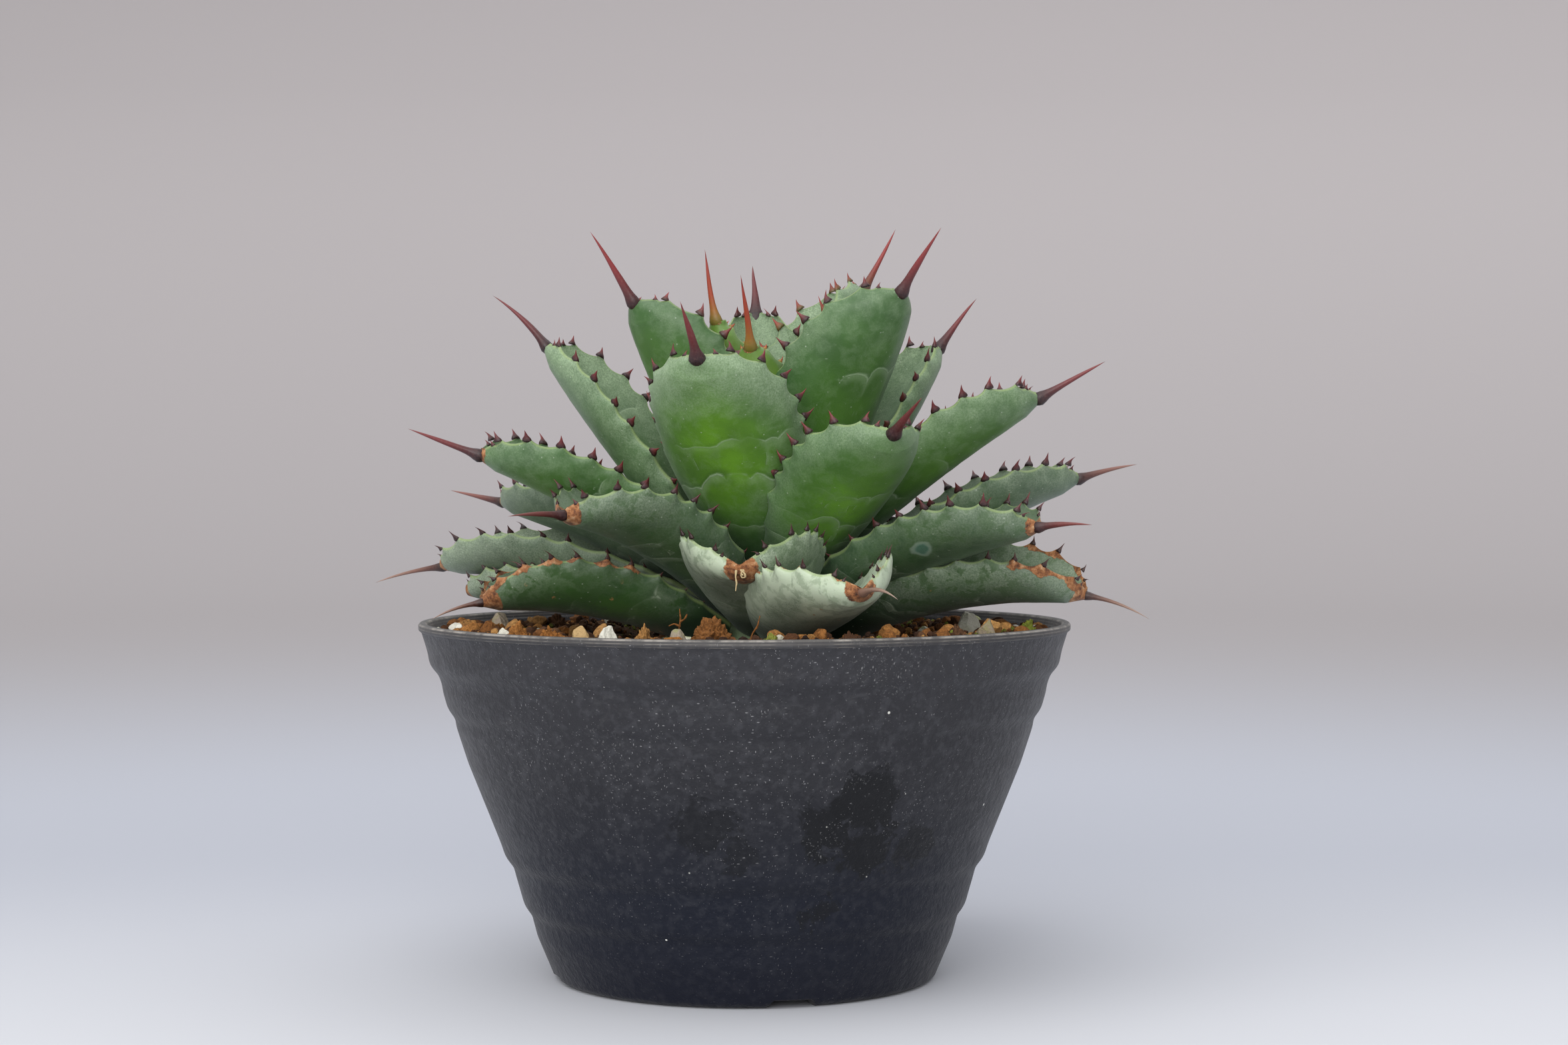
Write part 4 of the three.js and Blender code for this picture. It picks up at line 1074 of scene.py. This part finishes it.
BACK_CLUMPS, BACK_TURNS, BACK_RADII = 11, (75, 285), (42, 53)
BACK_HALVES, BACK_TOPS = (1.7, 3.2), (65.2, 67.4)
BACK_KINDS = ("clay", "pumice", "dark", "stone", "clay", "moss")
SMOOTH_KINDS = ("ochre", "stone")
# How rough the clumps of each kind are, and how finely.
CLUMP_ROUGHNESS = {
    "clay": (0.5, 4.2), "ochre": (0.14, 2.0), "pumice": (0.12, 2.8),
    "stone": (0.12, 2.0), "moss": (0.45, 4.6), "dark": (0.42, 3.8),
}


def all_clumps():
    rows = list(FRONT_CLUMPS)
    for k in range(BACK_CLUMPS):
        draw = lambda n: float(chance(k + 31, n))
        turn = math.radians(mix(*BACK_TURNS, (k + 0.8 * draw(1)) / BACK_CLUMPS))
        x, y, _ = around(mix(*BACK_RADII, draw(2)), turn, 0.0)
        half, top = mix(*BACK_HALVES, draw(3)), mix(*BACK_TOPS, draw(4))
        rows.append((x, y, half, top, BACK_KINDS[k % len(BACK_KINDS)]))
    return rows


def make_clumps(kinds, packed_soil):
    """One piece for each kind of clump, fitted over those of the packed soil."""
    heaps = {}
    for index, (x, y, half, top, kind) in enumerate(all_clumps()):
        rough, crumb = CLUMP_ROUGHNESS[kind]
        points, faces = grain_shape(index + 60, rough, 4, crumb)
        top = min(top, height_of(packed_soil, x, y) + 0.4)
        tall = (top - CLUMP_FOOT) / 2
        points = points / np.abs(points).max(0) * (half * 1.06, half * 0.95, tall)
        sin, cos = math.sin(index * 1.3), math.cos(index * 1.3)
        turned = (points[:, 0] * cos - points[:, 1] * sin, points[:, 0] * sin + points[:, 1] * cos)
        points = np.stack([*turned, points[:, 2]], -1) + (x, y, top - tall)
        tint = (0.55 + 0.4 * chance(index, 3), chance(index, 4), chance(index, 5))
        heaps.setdefault(kind, Heap()).add(points, faces, tint)
    for kind, heap in heaps.items():
        smooth = kind in SMOOTH_KINDS
        heap.piece(f"clump_{kind}", kinds[kind], "soil_mix", "tint", smooth=smooth)


FIBRE_SIDES = 8


def tube_along(path, radius):
    """Points and faces of a closed round tube along a path, thinner towards its end."""
    path = np.asarray(path, float)
    step = np.linspace(0, len(path) - 1, 6 * (len(path) - 1) + 1)
    path = np.stack([np.interp(step, np.arange(len(path)), path[:, k]) for k in range(3)], -1)
    path[1:-1] = (path[:-2] + path[1:-1] + path[2:]) / 3
    direction = np.gradient(path, axis=0)
    one = np.cross(direction, (0.31, 0.9, 0.23))
    one /= np.linalg.norm(one, axis=1)[:, None]
    two = np.cross(direction, one)
    two /= np.linalg.norm(two, axis=1)[:, None]
    angle = turns(FIBRE_SIDES)[:, None]
    width = radius * (1 - 0.45 * step / step[-1]) * (1 + 0.25 * np.sin(3.1 * step + path[:, 0]))
    spokes = one[:, None] * np.cos(angle) + two[:, None] * np.sin(angle)
    points = (path[:, None] + width[:, None, None] * spokes).reshape(-1, 3)
    ends = [range(FIBRE_SIDES)[::-1], range(len(points) - FIBRE_SIDES, len(points))]
    return points, tube_faces(len(path), FIBRE_SIDES) + ends


def make_fibres(name, paths, radius, material, slot):
    heap = Heap()
    for path in paths:
        heap.add(*tube_along(path, radius), (0.5, 0.3, 0.2))
    heap.piece(name, material, slot, "tint")


SOIL_INNER_RADIUS, STREWN_RADIUS, STEM_CLEARANCE = 57.6, 57.4, 9.5


def scatter(name, count, sizes, lift, seed, shapes, material, where, bed):
    """Strews grains over the bed; sizes are radii in mm, drawn towards the small end, and lift
    says how high their middles lie, in radii."""
    draw = np.random.default_rng(seed)
    heap, placed = Heap(), 0
    while placed < count:
        radius = STREWN_RADIUS * math.sqrt(draw.uniform())
        turn = draw.uniform(0, 2 * math.pi)
        size = mix(*sizes, draw.uniform() ** 2.2)
        x, y = radius * math.sin(turn), -radius * math.cos(turn)
        axes, _ = np.linalg.qr(draw.normal(size=(3, 3)))
        shape, faces = shapes[draw.integers(len(shapes))]
        tint = draw.uniform(size=3)
        height = draw.uniform(*lift)
        from_stem = math.hypot(x - STEM_PLACE[0], y - STEM_PLACE[1])
        if radius + size * 0.9 > SOIL_INNER_RADIUS or from_stem < STEM_CLEARANCE + size:
            continue
        if where is not None and not where(x, y, draw.uniform()):
            continue
        top = height_of(bed, x, y)
        if top is None:
            continue
        placed += 1
        heap.add(shape @ axes.T * size + (x, y, top + height * size), faces, tint)
    heap.piece(name, material, "soil_mix", "tint", smooth=False)


def clear_of_clumps(x, y, _):
    return all(math.hypot(x - cx, y - cy) > half + 0.3 for cx, cy, half, _, _ in FRONT_CLUMPS)


def mossy(x, y, share):
    return lumps(np.array([[x, y, 0.0]]), 9.0, 21)[0] + share * 0.4 > 0.25


MOSS_GREEN, WET_BROWN = (0.26, 0.31, 0.045), (0.1, 0.045, 0.02)
# Grains of each kind: name, colours, roughness, mottling and moss.
GRAINS = {
    "clay": ("clay_grains", [
        (0, 45, 18, 9), (40, 170, 65, 18), (70, 400, 165, 40), (100, 550, 300, 100),
    ], 0.95, 0.6, 0.0),
    "pumice": ("pumice_grains", [
        (0, 500, 470, 360), (50, 660, 640, 540), (100, 750, 740, 660),
    ], 0.9, 0.1, 0.9),
    "dark": ("dark_grit", [
        (0, 22, 11, 7), (60, 75, 32, 15), (100, 150, 75, 35),
    ], 0.95, 0.5, 0.0),
    "moss": ("moss_tufts", [
        (0, 70, 85, 12), (50, 180, 220, 25), (100, 320, 340, 70),
    ], 0.95, 0.6, 0.0),
    "ochre": ("ochre_pebbles", [(0, 500, 270, 70), (100, 600, 420, 200)], 0.7, 0.15, 0.0),
    "stone": ("grey_pebbles", [(0, 200, 150, 110), (100, 400, 340, 270)], 0.8, 0.3, 0.5),
}
DRY_THREAD = ("dry_thread", [(0, 500, 360, 170), (100, 660, 550, 340)], 0.8, 0.2, 0.0)
SOIL_FINES = [(30, 20, 9, 4), (50, 90, 40, 15), (65, 220, 100, 35), (80, 360, 220, 100)]
# Loose grains: piece, count, sizes, lift, seed, steps of their shape, kind and where they lie.
GRIT = [
    ("grit_clay", 620, (0.7, 2.3), (0.0, 0.4), 11, 2, "clay", clear_of_clumps),
    ("grit_pumice", 75, (0.7, 2.0), (0.0, 0.35), 12, 2, "pumice", clear_of_clumps),
    ("grit_dark", 1900, (0.3, 1.2), (0.0, 0.45), 13, 1, "dark", None),
    ("grit_fine_clay", 2400, (0.22, 0.7), (0.0, 0.45), 14, 1, "clay", None),
    ("grit_moss", 900, (0.25, 0.9), (0.0, 0.45), 15, 1, "moss", mossy),
]
GRAIN_SHAPES, GRAIN_ROUGHNESS = 14, 0.16
ROOTLET_RADIUS, THREAD_RADIUS = 0.2, 0.22
ROOTLETS = [
    [(-11, -48, 62.5), (-11.2, -48.2, 66), (-10.8, -48.4, 68.4), (-11, -48.6, 70.2)],
    [(-10.9, -48.3, 67.2), (-11.9, -48.7, 67.7), (-12.8, -48.8, 67.3)],
    [(-10.9, -48.4, 68), (-10.1, -48.8, 68.5), (-9.7, -48.9, 69.3)],
    [(0.4, -52, 62.8), (1.2, -52.4, 66.2), (2.1, -52.3, 67.4), (2.5, -52.2, 69.2)],
]
# Dry threads at the torn tip of the front leaf, from that tip.
THREADS = [
    [(-0.6, 0.5, -0.9), (-0.6, -0.1, -1.2), (-0.7, -0.4, -2.2), (-0.5, -0.45, -3.2),
     (-0.7, -0.4, -4.6)],
    [(0.2, 0.5, -0.7), (0.3, -0.2, -1.1), (0.9, -0.5, -1.6), (1.0, -0.5, -2.2), (0.4, -0.5, -2.3),
     (0.2, -0.4, -1.7)],
    [(0.5, 0.4, -0.6), (0.7, -0.3, -1.2), (0.2, -0.6, -1.5), (0.6, -0.7, -1.9)],
]


def grain_material(name, stops, rough, mottling, green):
    """Layer tint: three chances, for the colour, the moss and the wet."""
    m = Shade(name)
    one, two, three = m.layer("tint")
    fine = m.noise(0.5, 4.0, 0.7)
    patch = m.noise(1.8, 3.0, 0.6)
    m.colour = m.ramp(one, stops)
    m.paint(m.span(fine, 0.3, 0.7, mottling, 0.0), dimmed(colour_of(stops[0]), 0.35))
    m.paint(m.times(m.span(patch, 0.45, 0.7), m.span(two, 0.15, 0.8, 0.0, green)), MOSS_GREEN)
    m.paint(m.span(three, 0.6, 1.0, 0.0, 0.3), WET_BROWN)
    return m.finish(rough, m.bump(fine, 0.35), Specular_IOR_Level=0.25)


def soil_material():
    m = Shade("soil_fines")
    fine = m.noise(1.1, 5.0, 0.75)
    m.colour = m.ramp(fine, SOIL_FINES)
    m.paint(m.span(m.noise(6.0, 3.0, 0.6), 0.4, 0.65, 0.0, 0.5), (0.06, 0.035, 0.014))
    return m.finish(0.95, m.bump(fine, 1.2), Specular_IOR_Level=0.2)


def make_soil():
    bed = tree_of(make_soil_bed(soil_material()))
    shapes = {
        steps: [grain_shape(seed, GRAIN_ROUGHNESS, steps) for seed in range(GRAIN_SHAPES)]
        for steps in (1, 2)
    }
    kinds = {kind: grain_material(*row) for kind, row in GRAINS.items()}
    make_clumps(kinds, tree_of(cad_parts["soil"]))
    for name, count, sizes, lift, seed, steps, kind, where in GRIT:
        scatter(name, count, sizes, lift, seed, shapes[steps], kinds[kind], where, bed)
    make_fibres("rootlets", ROOTLETS, ROOTLET_RADIUS, kinds["clay"], "soil_mix")


# ---------------- floor

FLOOR_SIDES = 96
# Profile in metres: flat, then a sweep of this radius and rise, and a short straight end.
FLAT_RADII, SWEEP_RADIUS, SWEEP_RISE, FLOOR_END = [0.3, 0.8, 1.4], 1.2, 0.6, (2.62, 0.74)
# The table is paler towards the front: a painted pool of light.
BACKDROP_GREY, TABLE_FAR, TABLE_NEAR_LIT = (0.33, 0.312, 0.32), (0.44, 0.46, 0.52), (0.66, 0.675, 0.715)


def floor_material():
    m = Shade("floor")
    _, y, z = m.parts(m.place)
    # painted light: the table gets paler towards the front
    table_in_painted_light = m.blend(m.span(y, 0.18, -0.15), TABLE_FAR, TABLE_NEAR_LIT)
    away = m.node("ShaderNodeVectorMath", {0: m.place}, operation="LENGTH").outputs["Value"]
    nearness = m.math("DIVIDE", 1.0, m.plus(away, 0.53))
    backdrop = m.math("MAXIMUM", m.span(nearness, 0.52, 1.2, 1.0, 0.0), m.span(z, 0.0, 0.1))
    m.colour = m.blend(backdrop, table_in_painted_light, BACKDROP_GREY)
    return m.finish(0.8, Specular_IOR_Level=0.2)


def make_floor():
    """A round floor that sweeps up into a pale backdrop, high behind and low in front."""
    sweep = np.linspace(0.15, math.pi / 2, 10)
    profile = [(r, 0.0) for r in FLAT_RADII]
    profile += [
        (FLAT_RADII[-1] + SWEEP_RADIUS * math.sin(a), SWEEP_RISE * (1 - math.cos(a))) for a in sweep
    ]
    profile += [FLOOR_END]
    turn = turns(FLOOR_SIDES)
    lower_in_front = 0.15 + 0.85 * (1 - np.cos(turn)) / 2
    points = [around(r, turn, h * lower_in_front) for r, h in profile]
    points = np.vstack(points + [[(0, 0, 0)]])
    faces = tube_faces(len(profile), FLOOR_SIDES)
    faces += flipped(fan(0, FLOOR_SIDES, len(points) - 1))
    mesh = bpy.data.meshes.new("floor")
    mesh.from_pydata(points.tolist(), [], faces)
    mesh.polygons.foreach_set("use_smooth", [True] * len(mesh.polygons))
    mesh.materials.append(floor_material())
    floor = add_object("floor", mesh)


# ---------------- making it all

# Skin of each kind of leaf: its last leaf, and its deep, vivid and bloom colours.
SKINS = {
    "old_leaf": (13, (0.028, 0.07, 0.03), (0.065, 0.165, 0.015), (0.33, 0.4, 0.29)),
    "full_leaf": (26, (0.033, 0.09, 0.03), (0.122, 0.288, 0.018), (0.33, 0.44, 0.28)),
    "young_leaf": (28, (0.08, 0.18, 0.035), (0.25, 0.4, 0.03), (0.3, 0.42, 0.2)),
}

scene.view_settings.view_transform = "Standard"
make_camera()

skins = {slot: leaf_material(slot, *colours) for slot, (_, *colours) in SKINS.items()}
horn = horn_material()
for number in range(1, len(LEAVES) + 1):
    slot = next(slot for slot, (last, *_) in SKINS.items() if number <= last)
    blade = make_leaf(number, skins[slot])
    make_teeth(number, blade, horn)
    if blade.spine > 0:
        make_spine(number, blade, horn)

make_pot(pot_material())
make_soil()
torn_tip = Blade(TORN_LEAF - 1).at[-1]
threads = [np.array(path) + torn_tip for path in THREADS]
make_fibres("dry_threads", threads, THREAD_RADIUS, grain_material(*DRY_THREAD), "old_leaf")

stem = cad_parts["stem"]
stem.data.materials.clear()
stem.data.materials.append(skins["young_leaf"])

make_floor()
make_lights()
